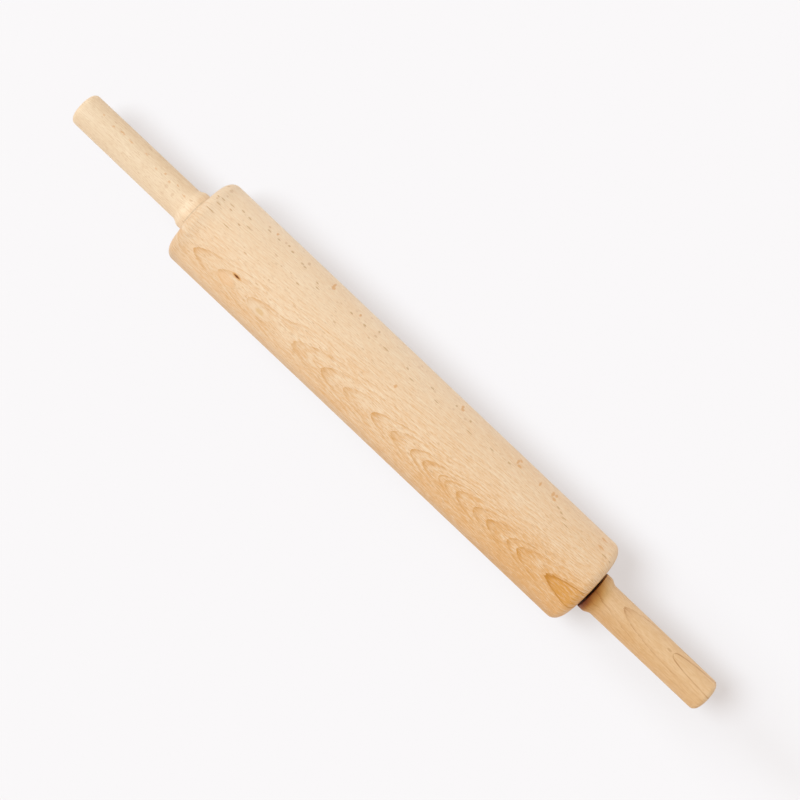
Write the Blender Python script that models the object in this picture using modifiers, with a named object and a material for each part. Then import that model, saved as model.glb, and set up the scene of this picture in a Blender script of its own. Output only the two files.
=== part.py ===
"""A rolling pin with handles, built as it comes apart on a bench.

A beech roller turns on two sealed ball bearings, one pressed into each end. The bearings slide on a
steel rod, and a beech handle is pressed on each end of that rod, with a thrust washer between the
handle's collar and the bearing. The pin lies along X with the roller resting on the plane z = 0, and
x = 0 is midway between the handles. All lengths are in metres.
"""

from math import asin, cos, degrees, pi, radians, sin

import bmesh
import bpy
from mathutils import Matrix, Vector

# Roller: a plain beech cylinder with a full, soft rounding at each end
ROLLER_LENGTH = 0.300
ROLLER_DIAMETER = 0.055
ROLLER_ROUND_LENGTH = 0.0062
ROLLER_ROUND_DEPTH = 0.0078
ROLLER_LEDGE = 0.0025
POCKET_CHAMFER = 0.0005

# Handles: a collar with a soft shoulder, a shallow cove and a long grip that hardly tapers
HANDLE_LENGTH = 0.08755
HANDLE_GAP = 0.00165
COLLAR_DIAMETER = 0.0244
COLLAR_LENGTH = 0.0058
COLLAR_INNER_EDGE = 0.0004
COLLAR_ROUND_LENGTH = 0.0024
COLLAR_ROUND_DEPTH = 0.00095
COVE_LENGTH = 0.0026
GRIP_DIAMETER_AT_COVE = 0.0208
GRIP_DIAMETER_AT_END = 0.0204
GRIP_ROUND_LENGTH = 0.0035
GRIP_ROUND_DEPTH = 0.0046
SOCKET_END_WALL = 0.028
SOCKET_CHAMFER = 0.0005

# Rod and washers
ROD_DIAMETER = 0.008
ROD_CHAMFER = 0.0005
ROD_END_GAP = 0.001
WASHER_THICKNESS = 0.0015
WASHER_WALL = 0.00175

# Ball bearings: 8 mm bore, 22 mm outside and 7 mm wide, as the sizes below add up
BALL_DIAMETER = 0.004
BALL_COUNT = 7
INNER_RACE_WALL = 0.0013
OUTER_RACE_WALL = 0.00135
RACE_SHOULDER_SHARE = 0.68
RACE_CHAMFER = 0.0003
CAGE_WALL = 0.0015
CAGE_WEB = 0.00025
CAGE_ARM_LENGTH = 0.0012
SEAL_THICKNESS = 0.0007
SEAL_INSET = 0.0001
SEAL_LEDGE = 0.0007
SEAL_LIP = 0.0003

# Fits: between pieces that touch, between a ball or seal and what it runs on, and on the sliding rod
SEAT_GAP = 0.00015
RUNNING_GAP = 0.00015
SLIP_GAP = 0.00005

# The roller drifts along the rod by this much each way from the middle, and at rest it has drifted
# to the left by this share of it
AXIAL_PLAY = 0.0009
REST_FLOAT_SHARE = 8 / 9

# Facets round the axis, and along a quarter of a rounded edge
ROLLER_SEGMENTS = 64
HANDLE_SEGMENTS = 36
SMALL_SEGMENTS = 28
ROLLER_EDGE_STEPS = 5
GRIP_EDGE_STEPS = 4
SMALL_EDGE_STEPS = 2
GROOVE_STEPS = 4
BALL_SEGMENTS = 12
BALL_RINGS = 7

MERGE_DISTANCE = 0.000005
SHARP_ANGLE = radians(35)

# Sizes and places that follow from the values above
AXIS_HEIGHT = ROLLER_DIAMETER / 2
ROLLER_END = ROLLER_LENGTH / 2
HANDLE_FACE = ROLLER_END + HANDLE_GAP
HANDLE_END = HANDLE_FACE + HANDLE_LENGTH
SOCKET_END = HANDLE_END - SOCKET_END_WALL
ROD_RADIUS = ROD_DIAMETER / 2
ROD_END = SOCKET_END - ROD_END_GAP
SOCKET_RADIUS = ROD_RADIUS + SEAT_GAP
WASHER_INNER_FACE = HANDLE_FACE - SEAT_GAP - WASHER_THICKNESS

BALL_RADIUS = BALL_DIAMETER / 2
GROOVE_RADIUS = BALL_RADIUS + RUNNING_GAP
RACE_BORE_RADIUS = ROD_RADIUS + SLIP_GAP
PITCH_RADIUS = RACE_BORE_RADIUS + INNER_RACE_WALL + GROOVE_RADIUS
BEARING_RADIUS = PITCH_RADIUS + GROOVE_RADIUS + OUTER_RACE_WALL
SHOULDER_RISE = BALL_RADIUS * RACE_SHOULDER_SHARE
INNER_SHOULDER_RADIUS = PITCH_RADIUS - SHOULDER_RISE
OUTER_SHOULDER_RADIUS = PITCH_RADIUS + SHOULDER_RISE
SEAL_SEAT_RADIUS = OUTER_SHOULDER_RADIUS + SEAL_LEDGE
CAGE_BACK = BALL_RADIUS + RUNNING_GAP + CAGE_WEB
SEAL_SEAT = CAGE_BACK + RUNNING_GAP
SEAL_FACE = SEAL_SEAT + SEAT_GAP + SEAL_THICKNESS
BEARING_HALF_WIDTH = SEAL_FACE + SEAL_INSET
BEARING_FACE = WASHER_INNER_FACE - SLIP_GAP - AXIAL_PLAY
BEARING_PLACE = BEARING_FACE - BEARING_HALF_WIDTH
POCKET_END = BEARING_PLACE - BEARING_HALF_WIDTH - SEAT_GAP
REST_FLOAT = -AXIAL_PLAY * REST_FLOAT_SHARE


def clear_scene():
    for obj in list(bpy.data.objects):
        bpy.data.objects.remove(obj)


def new_collection(name):
    collection = bpy.data.collections.new(name)
    bpy.context.scene.collection.children.link(collection)
    return collection


def linear(red, green, blue):
    """A colour written in the 0 to 255 steps of a display, as the linear light that a shader takes."""
    shares = [step / 255 for step in (red, green, blue)]
    return [s / 12.92 if s <= 0.04045 else ((s + 0.055) / 1.055) ** 2.4 for s in shares]


def new_material(name, colour, roughness, metallic=0.0):
    material = bpy.data.materials.new(name)
    material.use_nodes = True
    shader = material.node_tree.nodes["Principled BSDF"]
    shader.inputs["Base Color"].default_value = (*linear(*colour), 1)
    shader.inputs["Roughness"].default_value = roughness
    shader.inputs["Metallic"].default_value = metallic
    return material


def new_axis(name, collection, parent=None, place=(0, 0, 0)):
    """An empty on the pin's axis that carries the pieces which move together."""
    axis = bpy.data.objects.new(name, None)
    axis.location = place
    axis.parent = parent
    collection.objects.link(axis)
    return axis


def round_hole(radius, segments):
    """The corner radius of a faceted hole whose flats lie at this radius, so that a round fits in it."""
    return radius / cos(pi / segments)


def arc(centre, reach, start, end, steps):
    """Points along an ellipse's arc, from one angle to another in degrees: 0 is +X and 90 is outwards."""
    angles = [radians(start + (end - start) * i / steps) for i in range(steps + 1)]
    return [(centre[0] + reach[0] * cos(a), centre[1] + reach[1] * sin(a)) for a in angles]


def mirrored(profile):
    """The same outline for the other end of the pin, still running the same way."""
    return [(-x, radius) for x, radius in reversed(profile)]


def for_side(side, profile):
    """The outline as drawn for the right end of the pin, or mirrored for the left one."""
    return profile if side > 0 else mirrored(profile)


def turned_mesh(name, profile, segments):
    """A solid of revolution round X from points (x, radius), whose outer side runs towards -X.

    A profile that starts on the axis ends on it. Any other is a ring, and its last point joins the
    first. The profile stands half a facet from straight down, so that a flat faces down.
    """
    tilt = pi / segments
    points = [(x, radius * sin(tilt), -radius * cos(tilt)) for x, radius in profile]
    lines = [(i, i + 1) for i in range(len(points) - 1)]
    if profile[0][1] > 0:
        lines.append((len(points) - 1, 0))
    mesh = bpy.data.meshes.new(name)
    mesh.from_pydata(points, lines, [])
    lathe = bpy.data.objects.new(name, mesh)
    bpy.context.scene.collection.objects.link(lathe)
    screw = lathe.modifiers.new("Turn", "SCREW")
    screw.axis = "X"
    screw.steps = segments
    screw.render_steps = segments
    screw.use_merge_vertices = True
    screw.merge_threshold = MERGE_DISTANCE
    graph = bpy.context.evaluated_depsgraph_get()
    solid = bpy.data.meshes.new_from_object(lathe.evaluated_get(graph))
    bpy.data.objects.remove(lathe)
    bpy.data.meshes.remove(mesh)
    solid.name = name
    shade(solid)
    return solid


def ball_mesh(name, radius, places=((0, 0, 0),)):
    """One ball at each place, in a single mesh."""
    build = bmesh.new()
    for place in places:
        centre = Matrix.Translation(Vector(place))
        bmesh.ops.create_uvsphere(
            build, u_segments=BALL_SEGMENTS, v_segments=BALL_RINGS, radius=radius, matrix=centre
        )
    mesh = bpy.data.meshes.new(name)
    build.to_mesh(mesh)
    build.free()
    shade(mesh)
    return mesh


def shade(mesh):
    mesh.shade_smooth()
    mesh.set_sharp_from_angle(angle=SHARP_ANGLE)


def add_piece(name, mesh, material, collection, parent, place=(0, 0, 0)):
    piece = bpy.data.objects.new(name, mesh)
    piece.location = place
    piece.parent = parent
    collection.objects.link(piece)
    if not mesh.materials:
        mesh.materials.append(material)
    return piece


def add_turned(name, profile, segments, material, collection, parent, place=(0, 0, 0)):
    return add_piece(name, turned_mesh(name, profile, segments), material, collection, parent, place)


def roller_profile():
    """The outside with its rounded ends, the bearing pockets, and the wider bore that clears the rod."""
    radius = round_hole(ROLLER_DIAMETER / 2, ROLLER_SEGMENTS)
    pocket = round_hole(BEARING_RADIUS + SEAT_GAP, ROLLER_SEGMENTS)
    bore = pocket - ROLLER_LEDGE
    centre = (ROLLER_END - ROLLER_ROUND_LENGTH, radius - ROLLER_ROUND_DEPTH)
    rounding = arc(centre, (ROLLER_ROUND_LENGTH, ROLLER_ROUND_DEPTH), 0, 90, ROLLER_EDGE_STEPS)
    right_pocket = [
        (POCKET_END, bore),
        (POCKET_END, pocket),
        (ROLLER_END - POCKET_CHAMFER, pocket),
        (ROLLER_END, pocket + POCKET_CHAMFER),
    ]
    return rounding + mirrored(rounding) + mirrored(right_pocket) + right_pocket


def collar_profile():
    """From the grip's first point to the collar's inner face: cove, shoulder and a broken edge."""
    collar_radius = COLLAR_DIAMETER / 2
    collar_end = HANDLE_FACE + COLLAR_LENGTH
    cove_end = collar_end + COVE_LENGTH
    cove_top = collar_radius - COLLAR_ROUND_DEPTH
    cove_depth = cove_top - GRIP_DIAMETER_AT_COVE / 2
    cove = arc((cove_end, cove_top), (COVE_LENGTH, cove_depth), 270, 180, GRIP_EDGE_STEPS)
    outer_centre = (collar_end - COLLAR_ROUND_LENGTH, cove_top)
    shoulder = arc(outer_centre, (COLLAR_ROUND_LENGTH, COLLAR_ROUND_DEPTH), 0, 90, GRIP_EDGE_STEPS)
    inner_centre = (HANDLE_FACE + COLLAR_INNER_EDGE, collar_radius - COLLAR_INNER_EDGE)
    inner_edge = arc(inner_centre, (COLLAR_INNER_EDGE, COLLAR_INNER_EDGE), 90, 180, SMALL_EDGE_STEPS)
    return cove + shoulder[1:] + inner_edge


def handle_profile():
    """The grip's rounded end, its taper, the collar, and the blind socket for the rod."""
    end_radius = GRIP_DIAMETER_AT_END / 2
    centre = (HANDLE_END - GRIP_ROUND_LENGTH, end_radius - GRIP_ROUND_DEPTH)
    rounding = arc(centre, (GRIP_ROUND_LENGTH, GRIP_ROUND_DEPTH), 0, 90, GRIP_EDGE_STEPS)
    bore = round_hole(SOCKET_RADIUS, HANDLE_SEGMENTS)
    socket = [
        (HANDLE_FACE, bore + SOCKET_CHAMFER),
        (HANDLE_FACE + SOCKET_CHAMFER, bore),
        (SOCKET_END, bore),
        (SOCKET_END, 0),
    ]
    return [(HANDLE_END, 0)] + rounding + collar_profile() + socket


def rod_profile():
    right_end = [(ROD_END, 0), (ROD_END, ROD_RADIUS - ROD_CHAMFER), (ROD_END - ROD_CHAMFER, ROD_RADIUS)]
    return right_end + mirrored(right_end)


def washer_profile():
    bore = round_hole(SOCKET_RADIUS, SMALL_SEGMENTS)
    outside = bore + WASHER_WALL
    outer_face = WASHER_INNER_FACE + WASHER_THICKNESS
    return [(outer_face, outside), (WASHER_INNER_FACE, outside), (WASHER_INNER_FACE, bore), (outer_face, bore)]


def groove_angle():
    """How far round the ball, in degrees from the axis, the groove's edge meets the race's shoulder."""
    return degrees(asin(SHOULDER_RISE / GROOVE_RADIUS))


def inner_race_profile():
    """The race round the rod, with its ball groove outside. Its middle is at x = 0."""
    edge = groove_angle()
    bore = round_hole(RACE_BORE_RADIUS, SMALL_SEGMENTS)
    centre = (0, PITCH_RADIUS)
    groove = arc(centre, (GROOVE_RADIUS, GROOVE_RADIUS), -edge, edge - 180, GROOVE_STEPS)
    right_outside = [
        (BEARING_HALF_WIDTH, INNER_SHOULDER_RADIUS - RACE_CHAMFER),
        (BEARING_HALF_WIDTH - RACE_CHAMFER, INNER_SHOULDER_RADIUS),
    ]
    right_bore = [
        (BEARING_HALF_WIDTH - RACE_CHAMFER, bore),
        (BEARING_HALF_WIDTH, bore + RACE_CHAMFER),
    ]
    return right_outside + groove + mirrored(right_outside) + mirrored(right_bore) + right_bore


def outer_race_profile():
    """The race in the roller's pocket, with its ball groove inside and a seat for each seal."""
    edge = groove_angle()
    shoulder = round_hole(OUTER_SHOULDER_RADIUS, SMALL_SEGMENTS)
    seat = round_hole(SEAL_SEAT_RADIUS, SMALL_SEGMENTS)
    centre = (0, round_hole(PITCH_RADIUS, SMALL_SEGMENTS))
    groove = arc(centre, (GROOVE_RADIUS, GROOVE_RADIUS), 180 - edge, edge, GROOVE_STEPS)
    right_outside = [
        (BEARING_HALF_WIDTH, BEARING_RADIUS - RACE_CHAMFER),
        (BEARING_HALF_WIDTH - RACE_CHAMFER, BEARING_RADIUS),
    ]
    right_inside = [
        (SEAL_SEAT, shoulder),
        (SEAL_SEAT, seat),
        (BEARING_HALF_WIDTH, seat),
    ]
    return right_outside + mirrored(right_outside) + mirrored(right_inside) + groove + right_inside


def seal_profile():
    """The seal on the right of a bearing: a rubber ring in the outer race with a thin lip inside."""
    outside = SEAL_SEAT_RADIUS - SEAT_GAP
    inside = round_hole(INNER_SHOULDER_RADIUS + RUNNING_GAP, SMALL_SEGMENTS)
    back = SEAL_FACE - SEAL_THICKNESS
    return [
        (SEAL_FACE, outside),
        (back, outside),
        (back, inside),
        (SEAL_FACE - SEAL_LIP, inside),
        (SEAL_FACE, inside + SEAL_LIP),
    ]


def cage_profile():
    """The ring that the ball pockets are cut from, closed on the left and open on the right."""
    outside = PITCH_RADIUS + CAGE_WALL / 2
    inside = round_hole(PITCH_RADIUS - CAGE_WALL / 2, SMALL_SEGMENTS)
    return [
        (CAGE_ARM_LENGTH, outside),
        (-CAGE_BACK, outside),
        (-CAGE_BACK, inside),
        (CAGE_ARM_LENGTH, inside),
    ]


def ball_places():
    """The middle of each ball, evenly round the bearing's axis."""
    turns = [2 * pi * i / BALL_COUNT for i in range(BALL_COUNT)]
    return [(0, PITCH_RADIUS * sin(turn), PITCH_RADIUS * cos(turn)) for turn in turns]


def add_ball_cage(name, side, material, parts, cutters, axis):
    """A snap-in cage whose closed side faces the middle of the pin, with a pocket for each ball."""
    cage = add_turned(name, for_side(side, cage_profile()), SMALL_SEGMENTS, material, parts, axis)
    pocket_name = name + "_pockets"
    pockets = ball_mesh(pocket_name, BALL_RADIUS + RUNNING_GAP, ball_places())
    cutter = add_piece(pocket_name, pockets, material, cutters, axis)
    cutter.hide_render = True
    cutter.display_type = "WIRE"
    cut = cage.modifiers.new("Pockets", "BOOLEAN")
    cut.operation = "DIFFERENCE"
    cut.object = cutter


def add_bearing(prefix, side, finishes, parts, cutters, roller_axis, float_axis):
    """One bearing: races, cage, balls and seals, each on the axis that it moves with."""
    place = (side * BEARING_PLACE, 0, 0)
    rings = (
        ("outer_race", outer_race_profile(), "race", roller_axis),
        ("inner_race", inner_race_profile(), "race", float_axis),
        ("outboard_seal", for_side(side, seal_profile()), "seal", roller_axis),
        ("inboard_seal", for_side(-side, seal_profile()), "seal", roller_axis),
    )
    for name, profile, finish, axis in rings:
        add_turned(prefix + name, profile, SMALL_SEGMENTS, finishes[finish], parts, axis, place)

    cage_axis = new_axis(prefix + "cage_axis", parts, float_axis, place)
    add_ball_cage(prefix + "ball_cage", side, finishes["cage"], parts, cutters, cage_axis)
    ball = ball_mesh(prefix + "ball", BALL_RADIUS)
    for number, ball_place in enumerate(ball_places(), start=1):
        add_piece(f"{prefix}ball_{number}", ball, finishes["ball"], parts, cage_axis, ball_place)


def new_finishes():
    return {
        "roller": new_material("roller_beech", (236, 203, 160), 0.55),
        "handle": new_material("handle_beech", (231, 198, 154), 0.5),
        "rod": new_material("rod_steel", (176, 177, 180), 0.3, 1.0),
        "washer": new_material("washer_nylon", (34, 32, 31), 0.6),
        "race": new_material("race_steel", (188, 190, 194), 0.2, 1.0),
        "ball": new_material("ball_steel", (206, 208, 212), 0.08, 1.0),
        "cage": new_material("cage_brass", (196, 160, 92), 0.35, 1.0),
        "seal": new_material("seal_rubber", (40, 38, 37), 0.7),
    }


def build_rolling_pin():
    clear_scene()
    parts = new_collection("rolling_pin")
    cutters = new_collection("cutters")
    finishes = new_finishes()

    rod_axis = new_axis("rod_axis", parts, place=(0, 0, AXIS_HEIGHT))
    float_axis = new_axis("float_axis", parts, rod_axis, (REST_FLOAT, 0, 0))
    roller_axis = new_axis("roller_axis", parts, float_axis)

    add_turned("roller", roller_profile(), ROLLER_SEGMENTS, finishes["roller"], parts, roller_axis)
    add_turned("axle_rod", rod_profile(), SMALL_SEGMENTS, finishes["rod"], parts, rod_axis)
    for prefix, side in (("left_", -1), ("right_", 1)):
        handle = for_side(side, handle_profile())
        washer = for_side(side, washer_profile())
        add_turned(prefix + "handle", handle, HANDLE_SEGMENTS, finishes["handle"], parts, rod_axis)
        add_turned(prefix + "thrust_washer", washer, SMALL_SEGMENTS, finishes["washer"], parts, rod_axis)
        add_bearing(prefix, side, finishes, parts, cutters, roller_axis, float_axis)


build_rolling_pin()
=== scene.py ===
"""Dresses the rolling pin: finer turned pieces, beech and metal finishes, a floor, a camera and lights."""

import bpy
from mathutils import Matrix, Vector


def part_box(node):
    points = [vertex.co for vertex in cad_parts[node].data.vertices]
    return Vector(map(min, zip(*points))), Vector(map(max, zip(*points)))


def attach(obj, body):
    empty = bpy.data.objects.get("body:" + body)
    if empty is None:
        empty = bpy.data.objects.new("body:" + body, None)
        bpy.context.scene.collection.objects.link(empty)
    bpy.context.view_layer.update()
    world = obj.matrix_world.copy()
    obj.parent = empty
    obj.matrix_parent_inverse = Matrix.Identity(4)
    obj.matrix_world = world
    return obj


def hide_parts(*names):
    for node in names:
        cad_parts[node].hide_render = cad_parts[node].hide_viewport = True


bl_info = {
    "name": "Rolling Pin with Handles",
    "version": (1, 0, 0),
    "blender": (4, 5, 0),
    "location": "3D View > Sidebar > Rolling Pin",
    "description": "Turns the pieces of a beech rolling pin round its CAD frame and sets it on a pale floor",
    "category": "Object",
}

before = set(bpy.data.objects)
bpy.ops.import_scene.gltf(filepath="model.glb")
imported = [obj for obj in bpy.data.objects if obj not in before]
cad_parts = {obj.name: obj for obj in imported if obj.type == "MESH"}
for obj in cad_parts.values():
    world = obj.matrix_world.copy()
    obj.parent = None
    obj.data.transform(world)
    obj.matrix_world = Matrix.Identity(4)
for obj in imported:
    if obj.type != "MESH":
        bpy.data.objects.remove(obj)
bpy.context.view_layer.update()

from math import asin, cos, pi, radians, sin, tan

import bmesh
import bpy
from bpy.props import FloatProperty, FloatVectorProperty, IntProperty, PointerProperty
from mathutils import Euler, Vector

MILLIMETRES = 1000

# Points closer than this are one, a face whose normal lies this nearly along the pin closes its end,
# and a plane of this size is merged into the first point of an outline
TOUCHING = 0.000002
NEARLY_FLAT = 0.99
MERGE_PLANE = 0.0001

SMOOTH_ANGLE = radians(28)
QUARTER = radians(90)
HALF_TURN = radians(180)
FULL_TURN = radians(360)

SIDES = ("left_", "right_")
BALL_COUNT = 7


def display(red, green, blue):
    """A colour written in the 0 to 255 steps of a display, as the linear light that a shader takes."""
    shares = [step / 255 for step in (red, green, blue)]
    return tuple(s / 12.92 if s <= 0.04045 else ((s + 0.055) / 1.055) ** 2.4 for s in shares)


# Sizes and colours that can be changed before the pieces are made


def length(name, default, description):
    return FloatProperty(
        name=name, default=default, description=description, min=0, unit="LENGTH", precision=5
    )


def colour(name, default, description):
    return FloatVectorProperty(
        name=name, default=display(*default), description=description, subtype="COLOR", size=3, min=0, max=1
    )


def count(name, default, description):
    return IntProperty(name=name, default=default, description=description, min=3)


def share(name, default, description):
    return FloatProperty(name=name, default=default, description=description, min=0)


def angle(name, default, description):
    return FloatProperty(name=name, default=radians(default), description=description, subtype="ANGLE")


class RollerSizes(bpy.types.PropertyGroup):
    round_length: length("Rounding Length", 0.0062, "How far the end rounding reaches along the roller")
    round_depth: length("Rounding Depth", 0.0078, "How far the end rounding reaches in from the side")
    pocket_radius: length("Pocket Radius", 0.01115, "Radius of the bearing pocket in each end")
    pocket_chamfer: length("Pocket Chamfer", 0.0005, "Broken edge round each pocket")
    ledge: length("Ledge", 0.0025, "Width of the ledge that each bearing stops at")
    segments: count("Segments", 256, "Faces round the roller")
    edge_steps: count("Edge Steps", 16, "Rows of faces along each end rounding")


class HandleSizes(bpy.types.PropertyGroup):
    collar_radius: length("Collar Radius", 0.0122, "Radius of the collar")
    collar_length: length("Collar Length", 0.0058, "Length of the collar along the handle")
    inner_edge: length("Inner Edge", 0.0004, "Rounded edge of the collar next to the roller")
    shoulder_length: length("Shoulder Length", 0.0024, "How far before the collar's end its flare starts")
    cove_length: length("Cove Length", 0.0026, "How far past the collar's end the flare runs into the grip")
    grip_start_radius: length("Grip Radius at Cove", 0.0104, "Radius of the grip next to the cove")
    grip_end_radius: length("Grip Radius at End", 0.0102, "Radius of the grip at its far end")
    round_length: length("Rounding Length", 0.0035, "How far the end rounding reaches along the grip")
    round_depth: length("Rounding Depth", 0.0046, "How far the end rounding reaches in from the side")
    socket_radius: length("Socket Radius", 0.00415, "Radius of the blind socket for the rod")
    socket_chamfer: length("Socket Chamfer", 0.0005, "Broken edge at the socket's mouth")
    socket_floor: length("Socket Floor", 0.028, "Wood left between the socket's bottom and the handle's end")
    segments: count("Segments", 160, "Faces round each handle")
    edge_steps: count("Edge Steps", 12, "Rows of faces along each rounded edge")
    grip_rows: count("Grip Rows", 12, "Rows of faces along the grip")


class BearingSizes(bpy.types.PropertyGroup):
    rod_radius: length("Rod Radius", 0.004, "Radius of the steel rod")
    rod_chamfer: length("Rod Chamfer", 0.0005, "Chamfer at each end of the rod")
    slip_gap: length("Slip Gap", 0.00005, "Gap between the rod and an inner race")
    running_gap: length("Running Gap", 0.00015, "Gap between a ball and what it runs in")
    seat_gap: length("Seat Gap", 0.00015, "Gap between pieces that are pressed together")
    race_radius: length("Race Radius", 0.011, "Outside radius of each bearing")
    race_chamfer: length("Race Chamfer", 0.0003, "Broken edges of the races")
    shoulder_share: share("Shoulder Share", 0.68, "Height of the race shoulders, in ball radii")
    seal_ledge: length("Seal Ledge", 0.0007, "Width of the ledge that each seal sits on")
    seal_lip: length("Seal Lip", 0.0003, "Thinned lip round the inside of each seal")
    seal_rib: length("Seal Rib", 0.00012, "Depth of the moulded groove in each seal's face")
    cage_wall: length("Cage Wall", 0.0015, "Thickness of the ball cage's ring")
    washer_wall: length("Washer Wall", 0.00175, "Width of each thrust washer's ring")
    washer_edge: length("Washer Edge", 0.0001, "Rounded edges of each thrust washer")
    segments: count("Segments", 112, "Faces round each small ring")
    ball_segments: count("Ball Segments", 32, "Faces round each ball")
    groove_steps: count("Groove Steps", 14, "Rows of faces along each ball groove")


class WoodColours(bpy.types.PropertyGroup):
    roller_pale: colour("Roller Pale", (248, 227, 197), "Palest wood of the roller")
    roller_deep: colour("Roller Deep", (226, 171, 107), "Warmest wood of the roller")
    roller_line: colour("Roller Line", (208, 142, 48), "Late wood lines of the roller")
    left_pale: colour("Left Handle Pale", (249, 228, 197), "Palest wood of the left handle")
    left_deep: colour("Left Handle Deep", (219, 183, 140), "Warmest wood of the left handle")
    left_line: colour("Left Handle Line", (208, 170, 124), "Late wood lines of the left handle")
    right_pale: colour("Right Handle Pale", (243, 210, 168), "Palest wood of the right handle")
    right_deep: colour("Right Handle Deep", (214, 164, 104), "Warmest wood of the right handle")
    right_line: colour("Right Handle Line", (182, 124, 66), "Late wood lines of the right handle")
    # This colour is painted shade: the brown that the wood is multiplied by next to the gap between the
    # roller and the right handle
    painted_shade: colour("Rubbed Collar", (152, 97, 25), "What rubbing against the roller multiplies the wood by")
    fleck: colour("Fleck", (200, 150, 98), "Ray flecks and pore dashes")
    pore: colour("Pore Mark", (194, 146, 88), "Short dark dashes on the roller's upper side")
    patch: colour("Patch", (216, 150, 60), "Warm patch of grain at the roller's right end")
    patch_edge: colour("Patch Edge", (186, 120, 34), "Dark line round the warm patch")
    flake: colour("Flake", (221, 160, 94), "Large flakes on the roller's upper side")
    eye: colour("Eye", (224, 180, 118), "Soft warm spot behind the small knot")
    blush: colour("Blush", (243, 196, 146), "Rosy wood round the small knot")
    knot: colour("Pin Knot", (112, 52, 4), "Small dark spindle on the roller")


class MetalColours(bpy.types.PropertyGroup):
    rod: colour("Rod", (176, 177, 180), "Drawn steel of the rod")
    race: colour("Race", (188, 190, 194), "Ground steel of the races")
    ball: colour("Ball", (206, 208, 212), "Polished steel of the balls")
    cage: colour("Cage", (196, 160, 92), "Pressed brass of the ball cages")
    washer: colour("Washer", (34, 32, 31), "Nylon of the thrust washers")
    seal: colour("Seal", (40, 38, 37), "Rubber of the seals")


class StageSettings(bpy.types.PropertyGroup):
    floor: colour("Floor", (250, 248, 249), "Pale floor and backdrop")
    floor_size: length("Floor Size", 8.0, "Width of the floor")
    camera_height: length("Camera Height", 1.2175, "Height of the camera above the floor")
    camera_shift_along: length("Camera Along", 0.00142, "Place of the camera along the pin")
    camera_shift_across: length("Camera Across", 0.00291, "Place of the camera across the pin")
    camera_turn: angle("Camera Turn", 43.494, "Turn of the camera about the upright")
    lens: FloatProperty(name="Lens", default=96.24, description="Focal length in millimetres", min=1)
    ambient: share("Surrounding Light", 0.8, "Strength of the light from all round")
    softbox: share("Softbox", 0.22, "Light that the softbox adds on the floor below it")
    softbox_height: length("Softbox Height", 2.6, "Height of the softbox above the floor")
    softbox_width: length("Softbox Width", 1.25, "Size of the softbox along the pin")
    softbox_depth: length("Softbox Depth", 1.05, "Size of the softbox across the pin")
    softbox_along: angle("Softbox Along", 24, "How far the softbox stands off towards the left handle")
    softbox_across: angle("Softbox Across", 11, "How far the softbox stands off to the near side")
    high_light: share("High Floor Light", 7.8, "Light that only the floor gets, from high up")
    high_along: angle("High Light Along", 30, "How far the high light leans towards the left handle")
    high_across: angle("High Light Across", 15, "How far the high light leans to the near side")
    high_spread: angle("High Light Spread", 28, "How wide the high light looks from the floor")
    low_light: share("Low Floor Light", 2.4, "Light that only the floor gets, from low down")
    low_along: angle("Low Light Along", 72, "How far the low light leans towards the left handle")
    low_across: angle("Low Light Across", 6, "How far the low light leans to the near side")
    low_spread: angle("Low Light Spread", 18, "How wide the low light looks from the floor")


class RollingPinSettings(bpy.types.PropertyGroup):
    roller: PointerProperty(type=RollerSizes)
    handle: PointerProperty(type=HandleSizes)
    bearing: PointerProperty(type=BearingSizes)
    wood: PointerProperty(type=WoodColours)
    metal: PointerProperty(type=MetalColours)
    stage: PointerProperty(type=StageSettings)


def settings():
    return bpy.context.scene.rolling_pin


# Places taken from the CAD frame


def span(node):
    """Where a node starts and ends along the pin."""
    low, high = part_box(node)
    return low.x, high.x


def middle(node):
    low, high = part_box(node)
    return (low + high) / 2


def axis_height():
    return middle("roller").z


def height_radius(node):
    """Half the height of a node that is round about its own middle."""
    low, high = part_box(node)
    return (high.z - low.z) / 2


# Modelling by hand: primitives, extrusions, spins and their clean-up


def leave_nothing_selected():
    if bpy.context.object and bpy.context.object.mode != "OBJECT":
        bpy.ops.object.mode_set(mode="OBJECT")
    bpy.ops.object.select_all(action="DESELECT")


def select_only(piece):
    leave_nothing_selected()
    piece.select_set(True)
    bpy.context.view_layer.objects.active = piece


def settle(name):
    """Names the piece in hand and puts its place, turn and scale into its mesh."""
    bpy.ops.object.mode_set(mode="OBJECT")
    bpy.ops.object.transform_apply(location=True, rotation=True, scale=True)
    piece = bpy.context.object
    piece.name = name
    piece.data.name = name
    return piece


def clean_surface():
    """Merges doubled points and turns every face outwards. The piece is in edit mode."""
    bpy.ops.mesh.select_all(action="SELECT")
    bpy.ops.mesh.remove_doubles(threshold=TOUCHING)
    bpy.ops.mesh.normals_make_consistent(inside=False)


def select_faces_across(places):
    """Selects the flat faces that close the piece in hand at these places along the pin."""
    bpy.ops.mesh.select_mode(type="FACE")
    bpy.ops.mesh.select_all(action="DESELECT")
    mesh = bmesh.from_edit_mesh(bpy.context.object.data)
    for face in mesh.faces:
        middle_x = face.calc_center_median().x
        across = abs(face.normal.x) > NEARLY_FLAT
        face.select = across and any(abs(middle_x - place) < TOUCHING for place in places)
    mesh.select_flush_mode()
    bmesh.update_edit_mesh(bpy.context.object.data)


def grow_cap(start, stations):
    """Extrudes the selected cap from one (x, radius) to the next, scaling it to each radius."""
    x, radius = start
    for next_x, next_radius in stations:
        bpy.ops.mesh.extrude_region_move(TRANSFORM_OT_translate={"value": (next_x - x, 0, 0)})
        ratio = next_radius / radius
        bpy.ops.transform.resize(value=(1, ratio, ratio), center_override=(next_x, 0, axis_height()))
        x, radius = next_x, next_radius


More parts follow.
